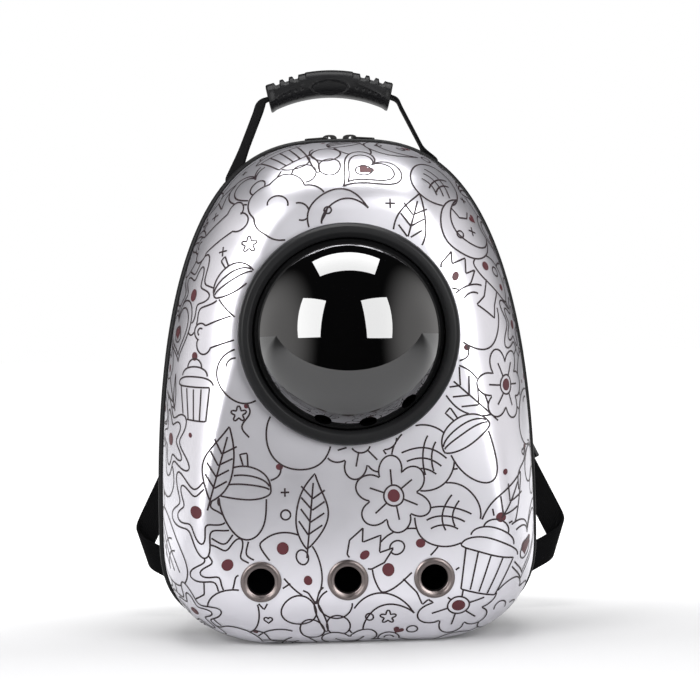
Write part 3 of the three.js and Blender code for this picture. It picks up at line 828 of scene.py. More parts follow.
def crown_mesh(x, side, top):
    """The arch over its eye, as points and faces, with its edges a little rounded."""
    turn = np.linspace(0, np.pi, 33)
    rings = []
    for y in (-0.0010, -0.0007, 0.0007, 0.0010):
        edge = ARCH_EDGE if abs(y) > 0.0008 else 0
        arch = (0, ARCH_REACH - edge, ARCH_RISE - edge)
        eye = (side * EYE_SHIFT, EYE_REACH + edge, EYE_RISE + edge)
        lines = []
        for middle, reach, rise in (arch, eye):
            across = x + middle + reach * signed_power(np.cos(turn), 0.75)
            up = top - ARCH_SUNK + (rise + ARCH_SUNK) * signed_power(np.sin(turn), 0.7)
            lines.append(np.stack([across, np.full(len(turn), y), up], axis=-1))
        rings.append(np.concatenate([lines[0], lines[1][::-1]]))
    count = len(rings[0])
    faces = ring_faces(4, count, caps=False)
    for base, flip in ((0, False), (3 * count, True)):
        for k in range(count // 2 - 1):
            face = (base + k, base + k + 1, base + count - 2 - k, base + count - 1 - k)
            faces.append(face if flip else face[::-1])
    return np.concatenate(rings), faces


def make_sliders():
    for side, word in ((-1, "left"), (1, "right")):
        low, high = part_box(f"zip_slider_{word}")
        x, width, length = (low.x + high.x) / 2, high.y - low.y, high.x - low.x
        top = low.z + SLIDER_TOP
        nose, narrow, wide = side * length / 2, width * 0.36, width * 0.5
        plan = [(x - nose, -narrow), (x + nose, -wide), (x + nose, wide), (x - nose, narrow)]
        parts = Parts()
        parts.stack(slab(plan, 0.003, top - SLIDER_PLATE, top, 0.0006, 6))
        for flank in (-1, 1):
            wall = rectangle(x, flank * 0.0041, length * 0.9, 0.0014)
            parts.stack(slab(wall, 0.0006, low.z, top - 0.0018, 0.0003, 4))
        parts.add(*crown_mesh(x, side, top))
        piece = build(f"slider_body_{word}", parts.verts, parts.faces, [zip_metal], smooth=35)
        stand_in(piece, f"zip_slider_{word}")
        make_pull(side, word)


def make_pull(side, word):
    """The pull lies from its bar at the bridge towards its free end, a little down."""
    half, far = PULL_THICKNESS / 2, PULL_LENGTH - PULL_END
    upper = [(far, PULL_WIDTH / 2), (PULL_WAIST, 0.0029), (-PULL_END, 0.0026)]
    plan = [(x, -y) for x, y in upper[::-1]] + upper
    parts = Parts()
    parts.stack(slab(plan, 0.0024, -half, half, 0.0003, 6))
    piece = build(f"pull_tab_{word}", parts.verts, parts.faces, [zip_metal], smooth=35)
    eye = box_cutter((0.0007, 0.0042), (-0.0014, 0.0014), 0.004)
    hole = box_cutter((0.0125, 0.0165), (-0.0016, 0.0016), 0.004)
    cut(piece, [eye, hole])
    shade(piece, 35)
    place = Matrix.Translation(Vector((side * PIVOT_ACROSS, 0, SHELL_HEIGHT + PIVOT_RISE)))
    turn = Matrix.Rotation(math.radians(PULL_DROOP), 4, "Y")
    piece.data.transform(place @ Matrix.Diagonal((side, 1, 1, 1)) @ turn)
    if side < 0:
        piece.data.flip_normals()
    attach(piece, f"pull_{word}")
    stand_in(piece, f"zip_pull_{word}")

# Bubble window and metal vents
WINDOW_STEPS = 176
RING_OPENING, RING_GROOVE, RING_PROUD = 0.075, 0.0776, 0.012
GROOVE_LOW, GROOVE_HIGH = 0.0021, 0.0059
DOME_WALL, DOME_RISE, DOME_HALF = 0.0025, 0.0096, math.radians(68)
DOME_LIP = (0.0028, 0.0052)
DOME_HOLE, DOME_HOLE_STEP, DOME_HOLE_TURN, DOME_HOLE_DOWN = 0.007, 29.4, 10.8, 60


def lathe(name, profile, material):
    """A solid of revolution round the window's axis, from its radii and its heights before the face."""
    rings = turned_rings(profile + [0, FACE_Y], WINDOW_STEPS) + np.array([0, 0, WINDOW.z])
    return loft(name, rings, [material], is_loop=True, smooth=30)


def make_ring():
    seat, rim_out = WINDOW_RADIUS - CLEARANCE, BEZEL_RADIUS
    profile = rounded([
        (RING_OPENING, -0.009), (seat, -0.009), (seat, CLEARANCE), (rim_out, CLEARANCE),
        (rim_out, RING_PROUD * 0.55), (rim_out - 0.0012, RING_PROUD * 0.82), (rim_out - 0.0036, RING_PROUD),
        (RING_OPENING + 0.0036, RING_PROUD), (RING_OPENING, RING_PROUD * 0.8), (RING_OPENING, GROOVE_HIGH),
        (RING_GROOVE, GROOVE_HIGH), (RING_GROOVE, GROOVE_LOW), (RING_OPENING, GROOVE_LOW),
    ], 0.0009, 4)
    stand_in(lathe("window_ring", profile, bezel_black), "window_bezel")


def make_dome():
    foot = RING_OPENING - 0.0007
    radius = foot / math.sin(DOME_HALF)
    centre = DOME_RISE - radius * math.cos(DOME_HALF)
    inner = radius - DOME_WALL
    inner_half = math.asin((foot - DOME_WALL) / inner)

    def bow(size, turns):
        return [(size * math.sin(a), centre + size * math.cos(a)) for a in turns]

    low, high = DOME_LIP
    skirt = [(foot, high), (foot + 0.0026, high), (foot + 0.0026, low), (foot - DOME_WALL, low)]
    outer_bow = bow(radius, np.linspace(0.0001, DOME_HALF, 48))
    inner_bow = bow(inner, np.linspace(inner_half, 0.0001, 40))
    dome = lathe("bubble_dome", np.array(outer_bow + skirt + inner_bow), smoked)
    cutters = []
    for step in (-1, 0, 1):
        turn = math.radians(DOME_HOLE_TURN + step * DOME_HOLE_STEP)
        down = Matrix.Rotation(math.radians(DOME_HOLE_DOWN), 3, Vector((1, 0, 0))) @ Vector((0, -1, 0))
        out = Matrix.Rotation(turn, 3, Vector((0, -1, 0))) @ down
        point = out * radius + Vector((0, -FACE_Y - centre, WINDOW.z))
        cutters.append(cylinder_cutter(point, out, DOME_HOLE, 0.02, 48))
    cut(dome, cutters)
    shade(dome, 30)
    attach(dome, "bubble")
    stand_in(dome, "bubble")


def make_vents():
    neck, proud = VENT_HOLE + 0.0012, 0.0024
    profile = rounded([
        (VENT_HOLE, -WALL - 0.002), (neck, -WALL - 0.002), (neck, CLEARANCE), (VENT_OUTER, CLEARANCE),
        (VENT_OUTER, proud * 0.45), (VENT_OUTER - 0.0013, proud * 0.9), (VENT_OUTER - 0.0027, proud),
        (VENT_OUTER - 0.0033, proud * 0.72), (VENT_HOLE + 0.0006, proud * 0.5), (VENT_HOLE, proud * 0.2),
    ], 0.0003, 4)
    for word, (point, out) in zip(("left", "middle", "right"), vent_places):
        turn = Vector((0, -1, 0)).rotation_difference(out).to_matrix()
        rings = turned_rings(profile, 96) @ np.array(turn).T + np.array(point)
        ring = loft(f"vent_ring_{word}", rings, [vent_metal], is_loop=True, smooth=30)
        stand_in(ring, f"vent_{word}")


# Handle
HANDLE_Y = (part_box("handle_webbing")[0].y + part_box("handle_webbing")[1].y) / 2
HANDLE_WIDTH = 0.025
WEB_THICKNESS = 0.0022
GRIP_TOP = SHELL_HEIGHT + 0.069
GRIP_HEIGHT, GRIP_WIDTH, GRIP_LENGTH = 0.023, 0.030, 0.115
GRIP_RADIUS = 0.132
GRIP_AXIS = GRIP_RADIUS - GRIP_HEIGHT / 2
GRIP_HALF = math.asin(GRIP_LENGTH / 2 / GRIP_RADIUS)
GRIP_END_LEAN, GRIP_MIDDLE = 0.5, 0.0195
HANDLE_SHIFT, FEET_SHIFT = -0.007, -0.0065
HANDLE_SPREAD, HANDLE_FOOT = 0.0885, 0.020

# Each leg of the handle: its side, its lean under the grip and its lean lower down, both in degrees,
# and the share of its height at which it has reached the first of them
LEGS = ((-1, 19, 31, 0.55), (1, 3, -34, 0.4))
LEG_TOP = GRIP_TOP - 0.028

# The grip's engraving: notches, oval, pits and ridge
NOTCHES, NOTCH_DEPTH = (0.0285, 0.0366, 0.0447), 0.0043
OVAL_HALF, OVAL_HIGH, OVAL_DROP, OVAL_DEPTH = 0.0158, 0.0061, 0.0046, 0.0010
PIT_ROWS, PIT_COLUMNS, PIT_START, PIT_STEP = (-0.004, -0.0094), 5, 0.0239, 0.0056
PIT_SIZE, PIT_DEPTH = 0.0011, 0.0007
RIDGE_SLOPE, RIDGE_START, RIDGE_WIDTH, RIDGE_HIGH = 0.19, 0.023, 0.0009, 0.0005


def grip_point(angle):
    return np.array([
        HANDLE_SHIFT + GRIP_AXIS * math.sin(angle), HANDLE_Y,
        GRIP_TOP - GRIP_HEIGHT / 2 - GRIP_AXIS * (1 - math.cos(angle)),
    ])


def catmull_rom(points, steps):
    """A centripetal Catmull-Rom curve through the points, at even steps of length."""
    points = np.asarray(points, float)
    ends = [2 * points[0] - points[1], *points, 2 * points[-1] - points[-2]]
    line = []
    for a, b, c, d in zip(ends, ends[1:], ends[2:], ends[3:]):
        knots = np.cumsum([0] + [np.linalg.norm(q - p) ** 0.5 for p, q in ((a, b), (b, c), (c, d))])
        for t in np.linspace(knots[1], knots[2], 24, endpoint=False):
            def mix(p, q, i, j):
                gap = knots[j] - knots[i]
                return (knots[j] - t) / gap * p + (t - knots[i]) / gap * q
            ab, bc, cd = mix(a, b, 0, 1), mix(b, c, 1, 2), mix(c, d, 2, 3)
            line.append(mix(mix(ab, bc, 0, 2), mix(bc, cd, 1, 3), 1, 2))
    line.append(points[-1])
    return evenly(np.array(line), steps)


def foot_point(reach):
    order = np.argsort(rim.place[:, 0] + 10 * (rim.place[:, 1] < WIDEST_HEIGHT))
    above = [i for i in order if rim.place[i, 1] > WIDEST_HEIGHT]
    x = FEET_SHIFT + reach
    z = np.interp(x, rim.place[above, 0], rim.place[above, 1])
    out = unit(np.array([np.interp(x, rim.place[above, 0], rim.out[above, k]) for k in (0, 1)]))
    place = np.array([x, z]) + out * (CLEARANCE + WEB_THICKNESS / 2)
    return np.array([place[0], HANDLE_Y, place[1]])


def leg_points(side):
    bend = foot_point(side * HANDLE_SPREAD)
    end = grip_point(side * GRIP_HALF * 1.12)
    return [
        foot_point(side * (HANDLE_SPREAD + HANDLE_FOOT)),
        foot_point(side * (HANDLE_SPREAD + HANDLE_FOOT / 2)),
        foot_point(side * (HANDLE_SPREAD + 0.0015)),
        *[bend + (end - bend) * share for share in (0.1, 0.5, 0.88)],
        end,
    ]


def ribbon(name, line, across, width, thickness, material):
    """A flat woven band along a line. across is its width's way at each point."""
    side, face = ways_of(line, across)
    w, t = width / 2, thickness / 2
    profile = rounded([(w, t), (-w, t), (-w, -t), (w, -t)], thickness * 0.35, 3)
    rings = line[:, None] + profile[None, :, :1] * side[:, None] + profile[None, :, 1:] * face[:, None]
    return loft(name, rings, [material], uvs=cloth_uvs(profile, lengths(line)))


def make_handle():
    arc = [grip_point(share * GRIP_HALF) for share in (-1, -0.5, 0, 0.5, 1)]
    line = catmull_rom([*leg_points(-1), *arc, *leg_points(1)[::-1]], 260)
    lean = np.zeros(len(line))
    for side, high, low, reach in LEGS:
        on_side = side * (line[:, 0] - HANDLE_SHIFT) > 0
        foot = leg_points(side)[2][2]
        rise = (line[:, 2] - foot) / (LEG_TOP - foot)
        angle = high + (low - high) * (1 - smoothstep(0.06, reach, rise))
        angle = angle * smoothstep(0.0, 0.17, rise) * (1 - smoothstep(0.97, 1.2, rise))
        lean[on_side] = np.radians(angle)[on_side]
    along = unit(np.gradient(line, axis=0))
    face = np.cross(along, UP_Y)
    across = UP_Y * np.cos(lean)[:, None] + face * np.sin(lean)[:, None]
    piece = ribbon("handle_web", line, across, HANDLE_WIDTH, WEB_THICKNESS, webbing)
    stand_in(piece, "handle_webbing")
    make_grip()


def grip_notches(across):
    """Three finger notches to each side, each steep on the side of the grip's middle."""
    depth = np.zeros_like(across)
    for centre in NOTCHES:
        gap = np.abs(across) - centre
        notch = smoothstep(-0.0031, -0.0019, gap) * (1 - smoothstep(0.0008, 0.0031, gap))
        depth = np.maximum(depth, notch)
    return depth


def make_grip():
    """A moulded grip. Its front carries an engraved oval, a ridge and two rows of pits to each side."""
    rows, size = 441, 156
    along = np.linspace(-1, 1, rows)[:, None]
    turn = (np.arange(size) * 2 * np.pi / size)[None]
    across = GRIP_AXIS * GRIP_HALF * along + 0 * turn
    end = GRIP_AXIS * GRIP_HALF - np.abs(across)
    top = smoothstep(0.1, 0.45, np.cos(turn))
    up = GRIP_HEIGHT / 2 * signed_power(np.cos(turn), 0.72) + 0 * across
    back = GRIP_WIDTH / 2 * signed_power(np.sin(turn), 0.72) + 0 * across
    waist = 1 - 0.07 * top * (1 - smoothstep(-0.0009, 0.0003, GRIP_MIDDLE - np.abs(across)))
    flare = 1 + 0.06 * (1 - smoothstep(0.001, 0.006, end)) - 0.05 * (1 - smoothstep(0, 0.0009, end))
    notch = grip_notches(across)
    up = np.minimum(up * waist, GRIP_HEIGHT / 2 * 0.94 - NOTCH_DEPTH * notch) * flare
    back = back * flare * (1 - 0.09 * notch * top) * (1 - 0.03 * (1 - waist) / 0.07)
    oval = np.sqrt((across / OVAL_HALF) ** 2 + ((up + OVAL_DROP) / OVAL_HIGH) ** 2)
    carved = OVAL_DEPTH * (1 - smoothstep(0.93, 1.02, oval))
    carved = carved - 0.0003 * np.exp(-((oval - 1.07) / 0.05) ** 2)
    for height in PIT_ROWS:
        for column in range(PIT_COLUMNS):
            spot = PIT_START + PIT_STEP * column
            near = np.hypot(np.abs(across) - spot, up - height) / PIT_SIZE
            carved = carved + PIT_DEPTH * np.exp(-near**2 * 2)
    ridge = (up - 0.0004 + RIDGE_SLOPE * (np.abs(across) - RIDGE_START)) / RIDGE_WIDTH
    carved = carved - RIDGE_HIGH * np.exp(-ridge**2) * smoothstep(0.021, 0.025, np.abs(across))
    y = HANDLE_Y + back + carved * smoothstep(0.1, 0.5, -np.sin(turn))
    angle = across / GRIP_AXIS
    lean = angle * GRIP_END_LEAN
    x = HANDLE_SHIFT + GRIP_AXIS * np.sin(angle) + up * np.sin(lean)
    z = GRIP_TOP - GRIP_HEIGHT / 2 - GRIP_AXIS * (1 - np.cos(angle)) + up * np.cos(lean)
    grip = loft("grip_body", np.stack([x, y, z], axis=-1), [grip_black], smooth=50)
    stand_in(grip, "handle_grip")


# Back panel, straps and buckles
PANEL_CHANNEL = 0.038
FOLD_LEAN, FOLD_SLOPE, FOLD_RADIUS = math.radians(17.8), math.radians(45.8), 0.008
FOLD_HEIGHT = 0.063
STRAP_WIDTH, STRAP_THICKNESS = 0.022, 0.0022
FOLD_UPPER, FOLD_LOWER = 0.088, 0.072
HALF_TURN = math.pi * FOLD_RADIUS
LOWER_Y = BACK_Y + CLEARANCE + STRAP_THICKNESS / 2
LOCK_WIDTH, LOCK_LENGTH, LOCK_THICKNESS = 0.032, 0.026, 0.006
PAD_START, PAD_TOP_X, PAD_TOP_DROP, PAD_LIFT = 0.0127, 0.042, 0.0775, 0.075
PAD_WIDTHS, PAD_THICKNESSES = (0.030, 0.058), (0.004, 0.010)


def make_back_panel():
    """A quilted cushion: it bulges between rows of stitching and thins to its bound edge."""
    low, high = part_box("back_panel")
    thickness = high.y - low.y
    outline = rim.place - rim.out * PANEL_INSET
    centre = np.array([0, (low.z + high.z) / 2])
    shares = np.concatenate([[0.0, 0.008, 0.02, 0.045], np.linspace(0.08, 0.985, 60)])
    rings = [with_y(outline, low.y)]
    for share in shares:
        flat = outline + (centre - outline) * share
        edge = np.linalg.norm(flat - outline, axis=1)
        swell = np.sqrt(np.clip(1 - (1 - np.clip(edge / 0.012, 0, 1)) ** 2, 0, 1))
        phase = np.abs(np.mod((flat[:, 1] - centre[1]) / PANEL_CHANNEL + 0.5, 1) - 0.5) * 2
        groove = 1 - 0.42 * np.exp(-((1 - phase) / 0.1) ** 2) * smoothstep(0.006, 0.02, edge)
        rib = 0.86 + 0.14 * np.sqrt(np.clip(1 - phase**2, 0, 1))
        y = low.y + thickness * np.clip(0.32 + 0.68 * swell * rib, 0, 1) * groove
        rings.append(with_y(flat, y))
    piece = loft("back_cushion", np.array(rings), [air_mesh], smooth=60)
    stand_in(piece, "back_panel")
    flush, middle_y = np.zeros(RIM_COUNT), low.y + 0.0016
    edge = rim_bead("back_cushion_binding", outline, flush, middle_y, 0.0012, 0.0013, 10, webbing_plain)

class Fold:
    """The slanted fold at the tip of a strap's loop, and the webbing's two flat branches from it."""

    def __init__(self, side, fold_out):
        self.outward = np.array([side * math.cos(FOLD_LEAN), 0, -math.sin(FOLD_LEAN)])
        self.crease = np.array([side * math.sin(FOLD_LEAN), 0, math.cos(FOLD_LEAN)])
        tip = np.array([side * fold_out, LOWER_Y + FOLD_RADIUS, FOLD_HEIGHT])
        self.middle = tip - self.outward * FOLD_RADIUS

    def place(self, u, v, lift):
        turn = np.clip(u / FOLD_RADIUS, 0, np.pi)
        flat = np.where(u < 0, u, -np.maximum(u - HALF_TURN, 0))
        face = UP_Y * np.cos(turn)[..., None] + self.outward * np.sin(turn)[..., None]
        point = self.middle + self.crease * v[..., None] + face * (FOLD_RADIUS + lift)[..., None]
        return point + self.outward * flat[..., None]

    def on_strap(self, s, edge, lift):
        """A place on the webbing, s along it from the fold's middle and edge across it."""
        s, edge, lift = np.broadcast_arrays(s, edge, lift)
        u = HALF_TURN / 2 + s * math.cos(FOLD_SLOPE) + edge * math.sin(FOLD_SLOPE)
        v = -s * math.sin(FOLD_SLOPE) + edge * math.cos(FOLD_SLOPE)
        return self.place(u, v, lift)

    def upper(self, s):
        """The middle of the upper branch at s, and its ways along and across."""
        zero = np.zeros(1)
        point = self.on_strap(np.array([s]), zero, zero)[0]
        before = self.on_strap(np.array([s - 0.001]), zero, zero)[0]
        along = unit(point - before)
        side = unit(np.cross(UP_Y, along))
        return point, along, side


def make_strap(side, word, fold_out):
    fold = Fold(side, fold_out)
    w, t = STRAP_WIDTH / 2, STRAP_THICKNESS / 2
    flat = np.linspace(-w, w, 13)
    profile = np.concatenate([
        np.stack([flat, 0 * flat + t], axis=-1), [[w + 0.0004, 0]],
        np.stack([flat[::-1], 0 * flat - t], axis=-1), [[-w - 0.0004, 0]],
    ])
    s = np.linspace(-FOLD_UPPER, FOLD_LOWER, 260)
    rings = fold.on_strap(s[:, None], profile[None, :, 0], profile[None, :, 1])
    uvs = cloth_uvs(profile, s)
    web = loft(f"strap_webbing_{word}", rings, [webbing], uvs=uvs, smooth=50)
    stand_in(web, f"strap_web_{word}")
    make_buckle(fold, word)
    make_pad(fold, side, word)


def make_buckle(fold, word):
    """A ladder lock: two flanks joined by bars that the webbing runs between."""
    point, along, side = fold.upper(-FOLD_UPPER)
    parts = Parts()
    half, flank = LOCK_THICKNESS / 2, (LOCK_WIDTH - STRAP_WIDTH - 2 * CLEARANCE) / 2
    for hand in (-1, 1):
        plan = rectangle(hand * (LOCK_WIDTH - flank) / 2, 0, flank, LOCK_LENGTH)
        parts.stack(slab(plan, 0.0012, -half, half, 0.0006, 5))
    gap = STRAP_THICKNESS / 2 + CLEARANCE
    upper_bars = [(y, 0.005, gap, half) for y in (-0.0105, 0, 0.0105)]
    lower_bars = [(y, 0.004, -half, -gap) for y in (-0.0055, 0.0055)]
    for y, depth, low, high in upper_bars + lower_bars:
        plan = rectangle(0, y, LOCK_WIDTH - flank, depth)
        parts.stack(slab(plan, 0.0008, low, high, 0.0004, 4))
    up = np.cross(side, along)
    verts = point + np.array(parts.verts) @ np.array([side, along, up])
    buckle = build(f"ladder_lock_{word}", verts, parts.faces, [buckle_black], smooth=35)
    stand_in(buckle, f"strap_buckle_{word}")


def make_pad(fold, side, word):
    """A padded shoulder strap: stuffed between its bound edges, with a line of stitching inside them."""
    start, along, low_side = fold.upper(-FOLD_UPPER - PAD_START)
    top = np.array([side * PAD_TOP_X, BACK_Y + CLEARANCE + 0.009 + 0.0008, SHELL_HEIGHT - PAD_TOP_DROP])
    lower_pull, upper_pull = start - along * 0.070 + UP_Y * 0.0225, top + UP_Y * PAD_LIFT
    t = np.linspace(0, 1, 400)[:, None]
    line = (1 - t) ** 3 * start + 3 * (1 - t) ** 2 * t * lower_pull
    line = line + 3 * (1 - t) * t * t * upper_pull + t**3 * top
    line = evenly(line, 150)
    spread = smoothstep(0.02, 0.35, np.linspace(0, 1, len(line)))
    across = low_side * (1 - spread)[:, None] + np.array([-1.0, 0, 0]) * spread[:, None]
    width, thick = (low + (high - low) * spread for low, high in (PAD_WIDTHS, PAD_THICKNESSES))
    sideways, face = ways_of(line, across)
    flat = np.linspace(-1, 1, 41)
    swell = np.sqrt(np.clip(1 - np.abs(flat) ** 5, 0, 1))
    groove = 1 - 0.3 * np.exp(-(((np.abs(flat) - 0.8) / 0.035) ** 2))
    height = 0.16 + 0.84 * swell * groove
    upper = np.stack([flat, height], axis=-1)
    profile = np.concatenate([upper, upper[::-1] * [1, -1]])
    rings = (
        line[:, None]
        + profile[None, :, :1] * sideways[:, None] * (width / 2)[:, None, None]
        + profile[None, :, 1:] * face[:, None] * (thick / 2)[:, None, None]
    )
    pad = loft(f"shoulder_cushion_{word}", rings, [air_mesh], smooth=60)
    stand_in(pad, f"shoulder_pad_{word}")
    for hand, name in ((-1, "inner"), (1, "outer")):
        edge_line = line + sideways * (hand * width / 2)[:, None]
        edges = Parts()
        edges.tube(edge_line, 0.0017, 10)
        binding = build(f"pad_binding_{name}_{word}", edges.verts, edges.faces, [webbing_plain], smooth=60)


# Print: plain line drawings with small filled accents, drawn flat and laid on the skin
def arc(x, y, rx, ry, start=0.0, stop=360.0, count=28):
    a = np.radians(np.linspace(start, stop, count))
    return np.stack([x + rx * np.cos(a), y + ry * np.sin(a)], axis=-1)


def circle(x, y, radius, count=28):
    return arc(x, y, radius, radius, count=count)


def polar(radius_at, count=72):
    a = np.linspace(0, 2 * np.pi, count)
    r = radius_at(a)
    return np.stack([r * np.sin(a), r * np.cos(a)], axis=-1)


def cloud():
    hull = polar(lambda a: 0.36 + 0.09 * np.abs(np.sin(2.5 * a)) + 0.1 * np.abs(np.sin(a)), 90)
    return [hull, arc(-0.12, -0.02, 0.13, 0.11, 20, 230), arc(0.16, 0.05, 0.12, 0.1, -60, 150)], [], hull


def heart_line(size):
    a = np.linspace(0, 2 * np.pi, 64)
    x = 16 * np.sin(a) ** 3
    y = 13 * np.cos(a) - 5 * np.cos(2 * a) - 2 * np.cos(3 * a) - np.cos(4 * a)
    return np.stack([x, y + 2], axis=-1) * size / 34


def heart():
    hull = heart_line(0.9)
    return [hull, heart_line(0.7), circle(0, -0.02, 0.1)], [heart_line(0.22)], hull


def star():
    hull = polar(lambda a: 0.36 + 0.12 * np.cos(5 * a) + 0.015 * np.cos(10 * a), 90)
    return [hull, hull * 0.68], [circle(0, 0, 0.07)], hull


def flower():
    hull = polar(lambda a: 0.26 + 0.2 * np.abs(np.cos(3 * a)) ** 0.7, 110)
    petals = [
        np.array([[0.12 * math.sin(a), 0.12 * math.cos(a)], [0.3 * math.sin(a), 0.3 * math.cos(a)]])
        for a in np.radians(np.arange(6) * 60)
    ]
    return [hull, circle(0, 0, 0.12), *petals], [circle(0, 0, 0.075)], hull


def leaf():
    t = np.linspace(0, 1, 30)
    half = 0.2 * np.sin(np.pi * t ** 0.85)
    y = t * 0.95 - 0.47
    hull = np.concatenate([np.stack([half, y], axis=-1), np.stack([-half, y], axis=-1)[::-1]])
    veins = [np.array([[0, h], [s * 0.15, h + 0.14]]) for h in (-0.3, -0.15, 0.0, 0.15) for s in (-1, 1)]
    return [hull, np.array([[0, -0.58], [0, 0.36]]), *veins], [], hull


def mushroom():
    cap = np.concatenate([arc(0, 0, 0.42, 0.38, 0, 180, 40), arc(0, 0, 0.42, 0.09, 180, 360, 24)])
    foot = [[-0.13, -0.07], [-0.11, -0.3], [-0.17, -0.45]]
    stem = np.array(foot + [[-x, y] for x, y in foot[::-1]])
    sole = [[-0.17, -0.1], [-0.17, -0.45], [0.17, -0.45], [0.17, -0.1]]
    hull = np.concatenate([arc(0, 0, 0.42, 0.38, 0, 180, 40), sole])
    spots = [circle(-0.2, 0.12, 0.07), arc(0.03, 0.22, 0.08, 0.07), circle(0.24, 0.1, 0.05)]
    return [cap, stem, spots[1]], [spots[0], spots[2]], hull


def fish():
    t = np.linspace(0, 2 * np.pi, 60)
    body = np.stack([0.36 * np.cos(t) - 0.06, 0.22 * np.sin(t)], axis=-1)
    tail = np.array([[0.27, 0.04], [0.5, 0.2], [0.44, 0.0], [0.5, -0.2], [0.27, -0.04]])
    scales = [arc(x, 0, 0.06, 0.13, -75, 75, 14) for x in (-0.14, -0.02, 0.1)]
    return [body, tail, *scales], [circle(-0.28, 0.05, 0.03, 16)], np.concatenate([body, tail])


def bone():
    hull = np.concatenate([
        arc(0.34, 0.1, 0.13, 0.13, -60, 150, 18), arc(-0.34, 0.1, 0.13, 0.13, 30, 240, 18),
        arc(-0.34, -0.1, 0.13, 0.13, 120, 330, 18), arc(0.34, -0.1, 0.13, 0.13, 210, 420, 18),
    ])
    return [np.concatenate([hull, hull[:1]]), arc(-0.34, 0.1, 0.06, 0.06, 40, 220, 12)], [], hull


def yarn():
    hull = arc(0, 0, 0.4, 0.4, 0, 360, 54)
    strands = [arc(-0.3, -0.3, r, r, 12, 78, 20) for r in (0.3, 0.42, 0.54)]
    strands += [arc(0.32, -0.28, r, r, 104, 164, 20) for r in (0.34, 0.46)]
    tail = np.array([[0.2, -0.35], [0.36, -0.46], [0.52, -0.38], [0.56, -0.24]])
    return [hull, *strands, tail], [], hull


def moon():
    outer = arc(0, 0, 0.42, 0.42, 60, 300, 40)
    inner = arc(0.14, 0, 0.36, 0.36, 292, 68, 34)
    hull = np.concatenate([outer, inner])
    crater = circle(-0.2, 0.02, 0.05, 16)
    return [np.concatenate([hull, hull[:1]]), crater], [heart_line(0.16) + [0.24, 0]], hull


def balloon():
    hull = polar(lambda a: 0.34 + 0.05 * np.cos(a), 60) + [0, 0.12]
    string = np.stack([0.05 * np.sin(np.linspace(0, 7, 24)), np.linspace(-0.18, -0.62, 24)], axis=-1)
    sheen = arc(-0.1, 0.26, 0.12, 0.12, 90, 180, 12)
    return [hull, string, sheen], [circle(0, -0.2, 0.035, 14)], hull


def acorn():
    cap = np.concatenate([arc(0, 0.08, 0.3, 0.26, 0, 180, 30), arc(0, 0.08, 0.3, 0.07, 180, 360, 20)])
    nut = arc(0, 0.05, 0.25, 0.48, 184, 356, 36)
    stalk = np.array([[-0.02, 0.34], [-0.05, 0.46], [0.03, 0.48], [0.03, 0.34]])
    rows = [arc(0, 0.08, 0.3, h, 20, 160, 16) for h in (0.08, 0.17)]
    hull = np.concatenate([arc(0, 0.08, 0.3, 0.26, 0, 180, 30), nut])
    return [cap, nut, stalk, *rows], [], hull


def tulip():
    bloom = np.array([
        [-0.22, 0.42], [-0.12, 0.26], [0, 0.46], [0.12, 0.26], [0.22, 0.42], [0.25, 0.2],
        [0.17, 0.04], [0, -0.02], [-0.17, 0.04], [-0.25, 0.2], [-0.22, 0.42],
    ])
    stem = np.array([[0, -0.02], [0.02, -0.25], [0, -0.5]])
    sides = [
        np.array([[0, -0.46], [s * 0.14, -0.34], [s * 0.26, -0.1], [s * 0.1, -0.26], [0.01, -0.38]])
        for s in (-1, 1)
    ]
    hull = np.concatenate([bloom, [[-0.26, -0.1], [0, -0.5], [0.26, -0.1], [0.17, 0.04]]])
    return [bloom, stem, *sides], [arc(0, 0.14, 0.05, 0.065)], hull


def cupcake():
    cup = np.array([[-0.28, 0.0], [-0.2, -0.42], [0.2, -0.42], [0.28, 0.0], [-0.28, 0.0]])
    folds = [np.array([[x, -0.01], [x * 0.72, -0.41]]) for x in (-0.14, 0.0, 0.14)]
    swirl = np.concatenate([arc(0, 0.02, 0.34, 0.14, 0, 180, 20), [[-0.34, 0.02], [-0.28, 0.0]]])
    swirl2 = arc(0.0, 0.15, 0.25, 0.14, 0, 180, 20)
    swirl3 = arc(0.0, 0.27, 0.14, 0.12, 0, 180, 16)
    hull = np.concatenate([arc(0, 0.02, 0.34, 0.38, 0, 180, 24), [[-0.2, -0.42], [0.2, -0.42]]])
    return [cup, *folds, swirl, swirl2, swirl3], [circle(0, 0.42, 0.055)], hull


def butterfly():
    wings = []
    for s in (-1, 1):
        wings.append(arc(s * 0.23, 0.15, 0.21, 0.2, 0, 360, 34))
        wings.append(arc(s * 0.17, -0.17, 0.15, 0.17, 0, 360, 28))
        wings.append(np.array([[0, 0.2], [s * 0.07, 0.36], [s * 0.13, 0.4]]))
    body = arc(0, 0, 0.045, 0.24, 0, 360, 24)
    hull = polar(lambda a: 0.3 + 0.13 * np.abs(np.sin(a)), 50)
    return [body, *wings], [], hull


MOTIFS = (
    cloud, heart, star, flower, leaf, mushroom, fish, bone,
    yarn, moon, balloon, acorn, tulip, cupcake, butterfly,
)
MOTIF_SIZES, MOTIF_TURN, MOTIF_STRAY = (1.15, 1.45), 50, 0.2
ROW_RATIO = 0.87
LINE_STEP, FILL_STEP, MARK_STEP = 0.0018, 0.0015, 0.0012


def inside(points, polygon):
    """Which points lie inside a polygon."""
    x, y = points[:, 0][:, None], points[:, 1][:, None]
    x1, y1 = polygon[:, 0][None], polygon[:, 1][None]
    x2, y2 = np.roll(polygon[:, 0], -1)[None], np.roll(polygon[:, 1], -1)[None]
    crosses = (y1 > y) != (y2 > y)
    with np.errstate(divide="ignore", invalid="ignore"):
        at = (x2 - x1) * (y - y1) / (y2 - y1) + x1
    return np.sum(crosses & (x < at), axis=1) % 2 == 1


